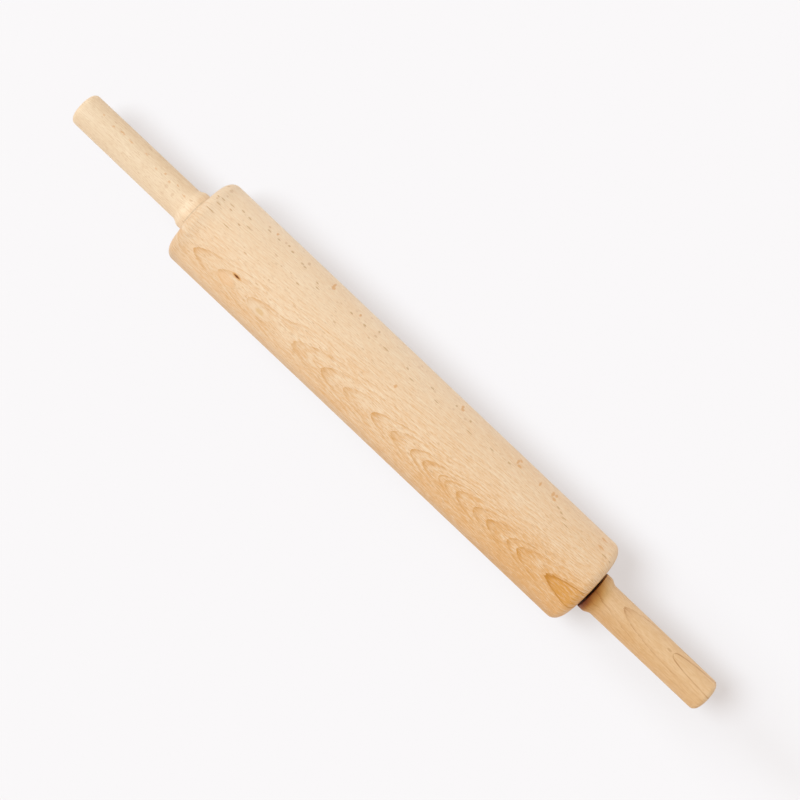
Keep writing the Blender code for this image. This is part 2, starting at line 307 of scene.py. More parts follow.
def start_cylinder(first, second, segments):
    """A cylinder along the pin between two (x, radius) stations, left in edit mode."""
    leave_nothing_selected()
    bpy.ops.mesh.primitive_cylinder_add(
        vertices=segments,
        radius=first[1],
        depth=abs(second[0] - first[0]),
        location=((first[0] + second[0]) / 2, 0, axis_height()),
        rotation=(0, QUARTER, 0),
    )
    bpy.ops.object.transform_apply(location=True, rotation=True, scale=True)
    bpy.ops.object.mode_set(mode="EDIT")


def spin_outline(name, outline, segments, centre=None, closed=True):
    """A ring: an outline of (x, radius) points is pulled out point by point, then spun round the axis."""
    centre = centre or Vector((0, 0, axis_height()))
    leave_nothing_selected()
    first_x, first_radius = outline[0]
    bpy.ops.mesh.primitive_plane_add(size=MERGE_PLANE, location=(first_x, centre.y, centre.z + first_radius))
    bpy.ops.object.transform_apply(location=True, rotation=True, scale=True)
    bpy.ops.object.mode_set(mode="EDIT")
    bpy.ops.mesh.select_mode(type="VERT")
    bpy.ops.mesh.select_all(action="SELECT")
    bpy.ops.mesh.merge(type="CENTER")
    x, radius = first_x, first_radius
    following = outline[1:] + outline[:1] if closed else outline[1:]
    for next_x, next_radius in following:
        step = (next_x - x, 0, next_radius - radius)
        bpy.ops.mesh.extrude_region_move(TRANSFORM_OT_translate={"value": step})
        x, radius = next_x, next_radius
    bpy.ops.mesh.select_all(action="SELECT")
    bpy.ops.mesh.remove_doubles(threshold=TOUCHING)
    bpy.ops.mesh.spin(steps=segments, angle=FULL_TURN, center=centre, axis=(1, 0, 0))
    clean_surface()
    return settle(name)


def arc(centre, reach, start, end, steps):
    """Points along an ellipse's arc, from one angle to another in degrees: 0 is +X and 90 is outwards."""
    angles = [radians(start + (end - start) * i / steps) for i in range(steps + 1)]
    return [(centre[0] + reach[0] * cos(a), centre[1] + reach[1] * sin(a)) for a in angles]


def mirrored(outline, centre):
    """The same outline on the other side of a place along the pin, still running the same way."""
    return [(2 * centre - x, radius) for x, radius in reversed(outline)]


def copy_turned(piece, name, centre_x):
    """A copy with its own mesh, turned half round about the upright at this place along the pin."""
    select_only(piece)
    bpy.ops.object.duplicate(linked=False)
    bpy.ops.transform.rotate(
        value=HALF_TURN, orient_axis="Z", orient_type="GLOBAL", center_override=(centre_x, 0, axis_height())
    )
    return settle(name)


def copy_moved(piece, name, move):
    select_only(piece)
    bpy.ops.object.duplicate(linked=False)
    bpy.ops.transform.translate(value=move)
    return settle(name)


def finish_piece(piece, node, material, body):
    """Shades a piece, dresses it, and lets it stand for its CAD node on that node's body."""
    select_only(piece)
    bpy.ops.object.shade_smooth_by_angle(angle=SMOOTH_ANGLE)
    piece.data.materials.clear()
    piece.data.materials.append(material)
    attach(piece, body)
    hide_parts(node)


def name_of(node):
    """A finished piece is named after the CAD node that it stands for."""
    return node + "_finish"


# Shader nodes


def fill(tree, socket, value):
    """Links an input from a socket, or sets it to a number, a vector or a colour."""
    if isinstance(value, bpy.types.NodeSocket):
        tree.links.new(value, socket)
    elif socket.type == "RGBA":
        socket.default_value = (*value, 1)
    else:
        socket.default_value = value


def put(tree, kind, inputs=None, **settings):
    """A new node with its settings and its inputs."""
    node = tree.nodes.new(kind)
    for key, value in settings.items():
        setattr(node, key, value)
    for key, value in (inputs or {}).items():
        fill(tree, node.inputs[key], value)
    return node


def calc(tree, operation, *values, clamp=False):
    node = put(tree, "ShaderNodeMath", dict(enumerate(values)), operation=operation, use_clamp=clamp)
    return node.outputs[0]


def product(tree, *values, clamp=False):
    """All the values multiplied together. With clamp, the result stays between 0 and 1."""
    result = values[0]
    for value in values[1:-1]:
        result = calc(tree, "MULTIPLY", result, value)
    return calc(tree, "MULTIPLY", result, values[-1], clamp=clamp)


def calc_vector(tree, operation, *values):
    node = put(tree, "ShaderNodeVectorMath", dict(enumerate(values)), operation=operation)
    return node.outputs["Value" if operation == "LENGTH" else "Vector"]


def parts_of(tree, place):
    return put(tree, "ShaderNodeSeparateXYZ", {"Vector": place}).outputs


def from_parts(tree, x, y, z):
    return put(tree, "ShaderNodeCombineXYZ", {"X": x, "Y": y, "Z": z}).outputs["Vector"]


# The middle of a noise's range, and the detail of the noise that makes edges ragged
NOISE_MIDDLE = 0.5
RAGGED_DETAIL = 2


def stretch(tree, place, sizes):
    """The place counted in lengths of this size along each axis."""
    return calc_vector(tree, "DIVIDE", place, sizes)


def noise(tree, place, sizes, detail, roughness):
    """Soft noise from 0 to 1 whose lumps are about this long along each axis."""
    inputs = {"Vector": stretch(tree, place, sizes), "Scale": 1, "Detail": detail, "Roughness": roughness}
    return put(tree, "ShaderNodeTexNoise", inputs).outputs["Fac"]


def swing(tree, place, sizes, detail, roughness):
    """The same noise, to either side of 0."""
    return calc(tree, "SUBTRACT", noise(tree, place, sizes, detail, roughness), NOISE_MIDDLE)


def between(tree, value, low, high, out_low=0, out_high=1, smooth=True):
    """A ramp: out_low where the value is low, out_high where it is high, and no further at either end."""
    inputs = {"Value": value, "From Min": low, "From Max": high, "To Min": out_low, "To Max": out_high}
    kind = "SMOOTHSTEP" if smooth else "LINEAR"
    return put(tree, "ShaderNodeMapRange", inputs, interpolation_type=kind, clamp=True).outputs["Result"]


def starting_at(start, ramp):
    """A ramp whose low and high are counted from this place."""
    low, high, *outputs = ramp
    return (start + low, start + high, *outputs)


def blend(tree, factor, under, over, mode="MIX"):
    inputs = {0: factor, 6: under, 7: over}
    return put(tree, "ShaderNodeMix", inputs, data_type="RGBA", blend_type=mode, clamp_factor=True).outputs[2]


def join_colour(tree, parts):
    return put(tree, "ShaderNodeCombineColor", dict(enumerate(parts))).outputs["Color"]


def grey(tree, level):
    return join_colour(tree, (level,) * 3)


VECTOR = "NodeSocketVector"
NUMBER = "NodeSocketFloat"
COLOUR = "NodeSocketColor"
SKIN = {"Color": COLOUR, "Roughness": NUMBER, "Height": NUMBER}


def new_group(name, inputs, outputs):
    """An empty shader node group with these named sockets: what it is given, and what it has to fill."""
    group = bpy.data.node_groups.new(name, "ShaderNodeTree")
    for in_out, sockets in (("INPUT", inputs), ("OUTPUT", outputs)):
        for socket_name, kind in sockets.items():
            group.interface.new_socket(name=socket_name, in_out=in_out, socket_type=kind)
    return group, group.nodes.new("NodeGroupInput").outputs, group.nodes.new("NodeGroupOutput").inputs


def close_group(group, ends, results):
    for name, socket in results.items():
        fill(group, ends[name], socket)
    return group


def use_group(tree, name, build, inputs):
    """The outputs of a node of this group, which is built when it is first used."""
    group = bpy.data.node_groups.get(name) or build(name)
    return put(tree, "ShaderNodeGroup", inputs, node_tree=group).outputs


# Noises: how long their lumps are in millimetres, along the grain, across it and out through the rings,
# then their detail and roughness. Bands are counted in bands, and metal's wear in scratch lengths
WAVER_NOISE = (30, 9, 9), 2, 0.5
TEETH_NOISE = (7, 0.7, 0.7), 2, 0.6
FEATHER_NOISE = (2.2, 0.9, 0.9), 2, 0.5
PATCHY_NOISE = (9, 2.5, 2.5), 2, 0.5
BAND_NOISE = (1, 1, 1), 3, 0.6
FIBRE_NOISE = (5, 0.5, 0.5), 3, 0.65
CLOUD_NOISE = (60, 12, 12), 2, 0.5
DASH_NOISE = (3.2, 0.4, 0.4), 1, 0.5
GLINT_NOISE = (3.6, 0.42, 0.5), 1, 0.5
PATCH_NOISE = (6, 0.9, 0.9), 3, 0.65
TONGUE_NOISE = (5, 2, 2), 2, 0.5
SCRATCH_NOISE = (1, 1, 1), 4, 0.65
BLOOM_NOISE = (7, 7, 7), 2, 0.5

# What beech is mixed from. A ramp is where it starts and stops, then what it gives there
CREST_FADE = (1.5, 10)
WAVER_OFF_CREST = (0.35, 1.5)
RAGGED_OFF_CREST = (0.07, 0.18)
LINE_OFF_CREST = (1, 0.5)
TEETH_SHARE = 1.2
PATCHY = (0.3, 0.65, 0.4, 1)
BAND_LENGTH = 22
BAND_WIDTH = 9
BANDS_IN_A_RING = 3
DASHES = (0.58, 0.7, 0, 0.42)
GLINTS = (0.4, 0.3, 0, 0.3)
FIBRE_SHARE = 1.5
BAND_SHARE = 0.65
CLOUD_SHARE = 0.3
WOOD_ROUGHNESS = 0.55
FIBRE_ROUGHNESS = 0.16
FLECK_ROUGHNESS = -0.1
DASH_HEIGHT = -0.6
LINE_HEIGHT = -0.35
WOOD_BUMP = (0.5, 0.00004)
WOOD_SHINE = 0.35

# Ray flecks: the size of a cell, the size of the plate in it, and how much the plates differ
FLECKS = (7.5, 1.9, 9), (1.15, 0.28, 2.2), 0.45
SMALL_FLECKS = (4.4, 0.95, 6), (0.85, 0.14, 1.2), 0.4
SMALL_FLECK_SHARE = 0.6
PLATE_CORE = 0.55
FAINTEST_PLATE = 0.1


def fleck_field(tree, place, cell, size, spread):
    """Thin plates along the rays: a little long through the rings, and a few millimetres along the grain.

    Each cell of a Voronoi field holds one plate at its seed point, and the plates' sizes vary.
    """
    cells = stretch(tree, place, cell)
    seeds = put(tree, "ShaderNodeTexVoronoi", {"Vector": cells, "Scale": 1, "Randomness": 1}).outputs
    offset = calc_vector(tree, "SUBTRACT", cells, seeds["Position"])
    in_plates = calc_vector(tree, "MULTIPLY", offset, [c / s for c, s in zip(cell, size)])
    pick = put(tree, "ShaderNodeSeparateColor", {"Color": seeds["Color"]}).outputs
    reach = between(tree, pick["Red"], 0, 1, 1 - spread, 1 + spread, smooth=False)
    distance = calc(tree, "DIVIDE", calc_vector(tree, "LENGTH", in_plates), reach)
    depth = between(tree, pick["Green"], 0, 1, FAINTEST_PLATE, 1, smooth=False)
    return product(tree, between(tree, distance, 1, PLATE_CORE), depth)


def build_beech(name):
    """Beech seen at any cut: late wood lines, streaks along them, ray flecks, pore dashes and fibre.

    Place is in millimetres from the piece's axis: X along the grain, Y across and Z out through the
    rings. Rings counts the growth rings there, and Ring Strength says how dark this ring's line is.
    """
    numbers = ("Rings", "Ring Strength", "Ring Fade", "Tone", "Streak Strength", "Fleck Strength")
    colours = ("Pale", "Deep", "Line", "Fleck")
    inputs = {"Place": VECTOR, **dict.fromkeys(numbers, NUMBER), **dict.fromkeys(colours, COLOUR)}
    tree, given, ends = new_group(name, inputs, SKIN)
    place, streak_strength = given["Place"], given["Streak Strength"]
    parts = parts_of(tree, place)
    off_crest = between(tree, calc(tree, "ABSOLUTE", parts["Y"]), *CREST_FADE)

    def off_the_crest(levels):
        return between(tree, off_crest, 0, 1, *levels, smooth=False)

    waver = product(tree, swing(tree, place, *WAVER_NOISE), off_the_crest(WAVER_OFF_CREST))
    teeth, feather = swing(tree, place, *TEETH_NOISE), swing(tree, place, *FEATHER_NOISE)
    raggedness = calc(tree, "MULTIPLY_ADD", teeth, TEETH_SHARE, feather)
    raggedness = product(tree, raggedness, off_the_crest(RAGGED_OFF_CREST))
    rings = calc(tree, "ADD", calc(tree, "ADD", given["Rings"], waver), raggedness)
    late = calc(tree, "POWER", calc(tree, "SUBTRACT", 1, calc(tree, "FRACT", rings)), given["Ring Fade"])
    patchy = between(tree, noise(tree, place, *PATCHY_NOISE), *PATCHY)
    line = product(tree, late, patchy, given["Ring Strength"], off_the_crest(LINE_OFF_CREST), clamp=True)

    band_place = from_parts(
        tree, product(tree, parts["X"], 1 / BAND_LENGTH), product(tree, parts["Y"], 1 / BAND_WIDTH),
        product(tree, rings, BANDS_IN_A_RING),
    )
    bands = swing(tree, band_place, *BAND_NOISE)
    fibre = swing(tree, place, *FIBRE_NOISE)
    cloud = swing(tree, place, *CLOUD_NOISE)
    dashes = between(tree, noise(tree, place, *DASH_NOISE), *DASHES)
    glints = between(tree, noise(tree, place, *GLINT_NOISE), *GLINTS)
    flecks = fleck_field(tree, place, *FLECKS)
    small_flecks = product(tree, fleck_field(tree, place, *SMALL_FLECKS), SMALL_FLECK_SHARE)
    flecks = product(tree, calc(tree, "MAXIMUM", flecks, small_flecks), given["Fleck Strength"], clamp=True)

    streaks = calc(tree, "MULTIPLY_ADD", fibre, FIBRE_SHARE, product(tree, bands, BAND_SHARE))
    tone = calc(tree, "MULTIPLY_ADD", streaks, streak_strength, given["Tone"])
    tone = calc(tree, "MULTIPLY_ADD", cloud, CLOUD_SHARE, tone, clamp=True)
    skin = paint(tree, blend(tree, tone, given["Pale"], given["Deep"]), (
        (line, given["Line"]),
        (product(tree, dashes, streak_strength, clamp=True), given["Fleck"]),
        (product(tree, glints, streak_strength, clamp=True), given["Pale"]),
        (flecks, given["Fleck"]),
    ))

    rough = calc(tree, "MULTIPLY_ADD", fibre, FIBRE_ROUGHNESS, WOOD_ROUGHNESS)
    rough = calc(tree, "MULTIPLY_ADD", flecks, FLECK_ROUGHNESS, rough)
    height = calc(tree, "MULTIPLY_ADD", dashes, DASH_HEIGHT, fibre)
    height = calc(tree, "MULTIPLY_ADD", line, LINE_HEIGHT, height)
    return close_group(tree, ends, {"Color": skin, "Roughness": rough, "Height": height})


# The ramp at a mark's edge, by the distance from its centre in half sizes, and how deep a mark goes
MARK_EDGE = (1.15, 0.5)
MARK_DEPTH = 6


def build_mark(name):
    """One placed mark: a soft-edged blob that is 1 at its centre and 0 outside its half sizes."""
    inputs = dict.fromkeys(("Place", "Centre", "Half Size"), VECTOR)
    tree, given, ends = new_group(name, inputs, {"Mask": NUMBER})
    offset = calc_vector(tree, "SUBTRACT", given["Place"], given["Centre"])
    offset = calc_vector(tree, "DIVIDE", offset, given["Half Size"])
    mask = between(tree, calc_vector(tree, "LENGTH", offset), *MARK_EDGE)
    return close_group(tree, ends, {"Mask": mask})


# Ramps of the wear that scratches and bloom bring
SCRATCHED = (0.4, 0.7, 0, 0.5)
BLOOMED = (0.3, 0.7, 0, 0.35)
WEAR_BUMP = (0.4, 0.00001)


def build_wear(name):
    """Fine scratches and a light bloom for metal, nylon and rubber. Place is counted in scratch lengths."""
    inputs = {"Place": VECTOR, "Smooth": NUMBER, "Rough": NUMBER, "Clean": COLOUR, "Worn": COLOUR}
    tree, given, ends = new_group(name, inputs, SKIN)
    scratches = noise(tree, given["Place"], *SCRATCH_NOISE)
    bloom = noise(tree, given["Place"], *BLOOM_NOISE)
    worn = between(tree, scratches, *SCRATCHED)
    worn = calc(tree, "ADD", worn, between(tree, bloom, *BLOOMED), clamp=True)
    skin = blend(tree, worn, given["Clean"], given["Worn"])
    spread = calc(tree, "SUBTRACT", given["Rough"], given["Smooth"])
    rough = calc(tree, "MULTIPLY_ADD", worn, spread, given["Smooth"])
    return close_group(tree, ends, {"Color": skin, "Roughness": rough, "Height": scratches})


# Finishes


def new_material(name):
    """A material with only its Principled shader and output, and its object coordinates."""
    material = bpy.data.materials.new(name)
    material.use_nodes = True
    tree = material.node_tree
    here = put(tree, "ShaderNodeTexCoord").outputs["Object"]
    return material, tree, tree.nodes["Principled BSDF"].inputs, here


def dress(tree, shader, skin, colour_shown, bump, shine):
    """Puts a group's skin on the shader, with its bump's strength and depth, and this colour."""
    strength, depth = bump
    normal = put(tree, "ShaderNodeBump", {"Height": skin["Height"], "Strength": strength, "Distance": depth})
    inputs = {
        "Base Color": colour_shown, "Roughness": skin["Roughness"], "Normal": normal.outputs["Normal"],
        "Specular IOR Level": shine,
    }
    for name, value in inputs.items():
        fill(tree, shader[name], value)


def paint(tree, skin, layers):
    """Lays (mask, colour) layers over the skin, one after the other."""
    for mask, shade in layers:
        skin = blend(tree, mask, skin, shade)
    return skin


# Paints shade: multiplies the skin by a grey of this level
def darken_by_painted_shade(tree, skin, level):
    return blend(tree, 1, skin, grey(tree, level), "MULTIPLY")


def paint_brown_shade(tree, skin, shade_share, deepest):
    """Paints shade: multiplies the skin by this brown where the painted shade is deepest, and leaves it where
    there is none.
    """
    parts = [calc(tree, "POWER", part, shade_share) for part in deepest]
    return blend(tree, 1, skin, join_colour(tree, parts), "MULTIPLY")


def beech_skin(tree, wood, piece, inputs):
    """The outputs of the beech group with these inputs, in the colours of this piece."""
    colours = {name: getattr(wood, f"{piece}_{name.lower()}") for name in ("Pale", "Deep", "Line")}
    return use_group(tree, "Beech", build_beech, {**inputs, **colours, "Fleck": wood.fleck})


def in_millimetres(tree, here):
    """The place in the pin's own frame, as a vector and as its three parts."""
    scale = {"Vector": here, "Scale": (MILLIMETRES,) * 3}
    place = put(tree, "ShaderNodeMapping", scale).outputs["Vector"]
    return place, parts_of(tree, place)


def grain_place(tree, here, tilt, run_out=0):
    """Millimetres from the pin's axis, turned so that Z runs out through the rings.

    Tilt is how far the rings' outward direction leans from straight up towards the near side, and
    run-out is the small angle between the grain and the pin's axis.
    """
    turn = Euler((-tilt, 0, -run_out))
    centre = Vector((0, 0, axis_height() * MILLIMETRES))
    move = -(turn.to_matrix() @ centre)
    inputs = {"Vector": here, "Scale": (MILLIMETRES,) * 3, "Rotation": turn, "Location": move}
    return put(tree, "ShaderNodeMapping", inputs, vector_type="POINT").outputs["Vector"]


def distance_from_axis(tree, place):
    return calc_vector(tree, "LENGTH", calc_vector(tree, "MULTIPLY", place, (0, 1, 1)))


# How far in and out a place is pushed at most, as a share of its distance from the axis
LEAST_PUSH = 0.75
MOST_PUSH = 1.45


def on_plain_round(tree, place, radius):
    """The place pushed out or in to the piece's plain round, so that lines run straight over shaped ends."""
    push = calc(tree, "DIVIDE", radius, distance_from_axis(tree, place))
    push = calc(tree, "MAXIMUM", calc(tree, "MINIMUM", push, MOST_PUSH), LEAST_PUSH)
    return calc_vector(tree, "MULTIPLY", place, from_parts(tree, 1, push, push))


def crest_place(tree, place, radius, rise, bow, along=None):
    """How far along the crest line this growth layer crops out, in millimetres.

    The layers rise by a small share of the length towards the left, and bow across the piece.
    """
    parts = parts_of(tree, place)
    across_squared = product(tree, parts["Y"], parts["Y"])
    depth = calc(tree, "MULTIPLY_ADD", across_squared, -1 / (2 * bow), parts["Z"])
    under_crest = calc(tree, "SUBTRACT", depth, radius)
    return calc(tree, "MULTIPLY_ADD", under_crest, 1 / rise, parts["X"] if along is None else along)


def curve_along(tree, value, points):
    """A number that changes along a stretch, straight from one (place, number from 0 to 1) to the next."""
    start, stop = points[0][0], points[-1][0]
    curve = put(tree, "ShaderNodeFloatCurve", {"Value": between(tree, value, start, stop, smooth=False)})
    shape = curve.mapping.curves[0]
    for point, (place, number) in zip((shape.points[0], shape.points[-1]), (points[0], points[-1])):
        point.location = ((place - start) / (stop - start), number)
    for place, number in points[1:-1]:
        shape.points.new((place - start) / (stop - start), number)
    for point in shape.points:
        point.handle_type = "VECTOR"
    curve.mapping.update()
    return curve.outputs["Value"]


def ring_count(tree, crest, tips, start, stop, spacing):
    """Counts growth rings by where their tips lie along the crest, and evenly before the first."""
    total = len(tips) + 1
    points = [(start, 0)] + [(tip, (number + 1) / total) for number, tip in enumerate(tips)] + [(stop, 1)]
    before = calc(tree, "MINIMUM", calc(tree, "SUBTRACT", crest, start), 0)
    counted = product(tree, curve_along(tree, crest, points), total)
    return calc(tree, "MULTIPLY_ADD", before, 1 / spacing, counted)


def ragged_place(tree, place, lump, reach):
    """The place pushed about by noise, which gives a mark a ragged edge."""
    inputs = {"Vector": stretch(tree, place, lump), "Scale": 1, "Detail": RAGGED_DETAIL}
    wobble = put(tree, "ShaderNodeTexNoise", inputs).outputs["Color"]
    push = calc_vector(tree, "SUBTRACT", wobble, (NOISE_MIDDLE,) * 3)
    return calc_vector(tree, "ADD", place, calc_vector(tree, "MULTIPLY", push, reach))


def marks(tree, place, placed, radius):
    """The strongest of several placed marks, times the share of their colour that they take.

    The marks lie on a round piece's upper side, where they are seen this far along and across.
    """
    strength, rows = placed
    total = 0
    for along, across, half_along, half_across in rows:
        up = (radius ** 2 - across ** 2) ** 0.5 + axis_height() * MILLIMETRES
        mask = use_group(tree, "Mark", build_mark, {
            "Place": place, "Centre": (along, across, up), "Half Size": (half_along, half_across, MARK_DEPTH),
        })["Mask"]
        total = calc(tree, "MAXIMUM", total, mask)
    return product(tree, total, strength)


# Where each growth ring crops out along the roller's crest, in millimetres along the pin from left to
# right, and how dark its line is
ROLLER_TIPS = (
    (-138, 0.75), (-119, 0.45), (-97, 0.55), (-63, 0.7), (-41.5, 0.72), (-25, 0.45), (-5, 0.85), (10, 0.65),
    (24.5, 0.82), (33.5, 0.75), (45.5, 0.8), (49.5, 0.65), (58, 0.85), (71, 0.85), (81, 1), (96, 0.9),
    (103, 1), (124, 1),
)
ROLLER_TILT = radians(28)
ROLLER_RUN_OUT = radians(0.77)
ROLLER_RISE = 0.063
ROLLER_BOW = 370
ROLLER_RING_SPACING = 17
ROLLER_RING_FADE = 3.4
STRENGTH_AT_ENDS = (0.4, 0.8)
STRENGTH_LAG = 1.5

# How warm the roller's wood looks: at its left end, middle and right end, then what is added at each
# place across, and what is added to its near side by a ramp along it
TONE_ALONG = (0.21, 0.28, 0.5)
TONE_ACROSS = (
    (-27, 0.22), (-22, 0.22), (-17.5, 0.15), (-13, 0.07), (-9, 0.06), (-4, 0.09), (0, 0.12), (5, 0.09),
    (9, 0.06), (14, 0.03), (27, 0),
)
UPPER_SIDE = (-13, 4)
WARMER_ALONG = (-10, 120, 0.14, 0.31)

# How streaky it is from end to end and across, and how much more flecked on the upper side's left part
STREAKY_AT_ENDS = (0.85, 1.5)
STREAKY_ACROSS = (-12, 10, 1, 0.62)
FLECKED_ALONG = (0, -90)
FLECKED_MORE = 0.45
FLECKED_EVERYWHERE = 0.35

# Ramps of painted shade: the near side across, the left end and the right end from each end, and the right
# end again by the distance from the axis
NEAR_SIDE_SHADE = (-22.5, -26.5, 1, 0.9)
LEFT_END_SHADE = (14, 3, 1, 0.91)
ROLLER_RIGHT_END_SHADE = (-1.2, 0, 0, 0.3)
ROLLER_RIGHT_FACE_SHADE = (15.5, 19.2, 0.3, 1)

# The warm patch: where its tip is, and by the distance from the tip how it starts, how solid it is and
# how dark its outline is
PATCH_TIP = 124
PATCH_RISE = 0.04
PATCH_SHARE = 0.88
PATCH_START = (-0.5, 0.7)
PATCH_RIM = (8, 1, 0, 0.9)
PATCH_OUTLINE = (5, 1, 0, 0.6)
PATCH_STREAKS = (0.35, 0.62, 0.12, 1)

# Ragged edges: the size of the lumps along each axis, and how far they push
PATCH_TEAR = (7, 0.8, 0.8), (6, 1, 0)
SPOT_EDGE = (1.1, 1.1, 1.1), (1.3, 1.3, 1.3)
DASH_EDGE = (1.1, 1.1, 1.1), (1.4, 0.55, 0.55)
HANDLE_SPOT_EDGE = (1, 1, 1), (1.8, 1.8, 1.8)

# Placed marks: the share of their colour that they take, and for each one its place along and across
# and its half sizes along and across, in millimetres. Round the pin knot lie its warm rim, rosy wood and
# a stretch of clear pale wood with a soft warm eye in it
PIN_KNOT = 1, ((-109.3, -9.5, 2.3, 0.5), (-109.3, -9.5, 1.2, 0.65))
KNOT_RIM = 0.8, ((-109.3, -9.5, 3.6, 1.1),)
BLUSH = 0.42, ((-113, -14.8, 6, 3.6),)
CLEAR = 0.42, ((-89, -14.8, 9.5, 3.8),)
EYE = 0.6, ((-87.3, -14.8, 3.6, 1.6),)
FLAKES = 0.7, (
    (-67.9, 23.9, 0.8, 1.9), (-67.3, 22.4, 1.6, 1), (-5.5, 6.7, 1.1, 1.2), (-46.2, 21.7, 0.8, 0.9),
    (-109.8, 22.8, 0.8, 0.8), (29.3, 23.9, 0.9, 1.3), (30.1, 22.8, 1.4, 0.9), (72, 23, 0.8, 1.9),
    (74, 21.7, 1.8, 0.8), (73.2, 24.5, 1.2, 0.6), (89.2, 22.5, 0.7, 1.6), (98.2, 23.3, 1.1, 2.1),
    (100.2, 21.6, 1.4, 1), (100.4, 23.8, 1, 1), (136, 24.4, 2.3, 0.6), (136.8, 20.1, 2.5, 0.7),
)
PORE_MARKS = 0.58, (
    (-114.1, 21, 1.6, 0.5), (-107.2, 21.1, 1.4, 0.45), (-100.8, 22.4, 0.8, 0.7), (-97.1, 21.3, 1.3, 0.6),
    (-88.6, 20.3, 1.4, 0.5), (-86.4, 19.9, 1.3, 0.5), (-75.3, 18.2, 1.2, 0.5), (-73.2, 16.2, 1.6, 0.4),
    (-50.4, 19.2, 1.2, 0.5), (-131.6, 18.8, 1.5, 0.5), (-126.4, 18.4, 1.5, 0.5), (-138.1, 17, 1.9, 0.45),
    (-147.2, 15.5, 1.2, 0.5), (-143.8, 16, 1.5, 0.45), (-122.9, 14.3, 2.4, 0.4), (-144, 12.6, 2, 0.4),
    (-145, 7.1, 3.4, 0.4), (-132.2, 6.5, 2.8, 0.35), (-82.7, 10.5, 1.4, 0.45), (-32.4, 22.2, 0.8, 0.7),
    (-40.7, 19.4, 1.2, 0.55), (-23.4, 17.8, 2.4, 0.5), (-7.3, 18.3, 1.1, 0.5), (-1.5, 15.3, 2.2, 0.4),
    (9.8, 19.8, 1.5, 0.5), (16.3, 16, 2, 0.4), (26.3, 22, 0.8, 0.6), (37.6, 21, 0.8, 0.7),
    (41, 16.2, 2.8, 0.35), (56.5, 17.7, 1.9, 0.45), (68.5, 19, 1.4, 0.55), (104.9, 19.8, 1.4, 0.5),
    (107.9, 18.8, 1.3, 0.5), (111.1, 17.6, 1.8, 0.4), (114.3, 15.4, 2.6, 0.35), (141.2, 17.8, 2.2, 0.45),
    (145.6, 17.5, 1.1, 0.5),
)


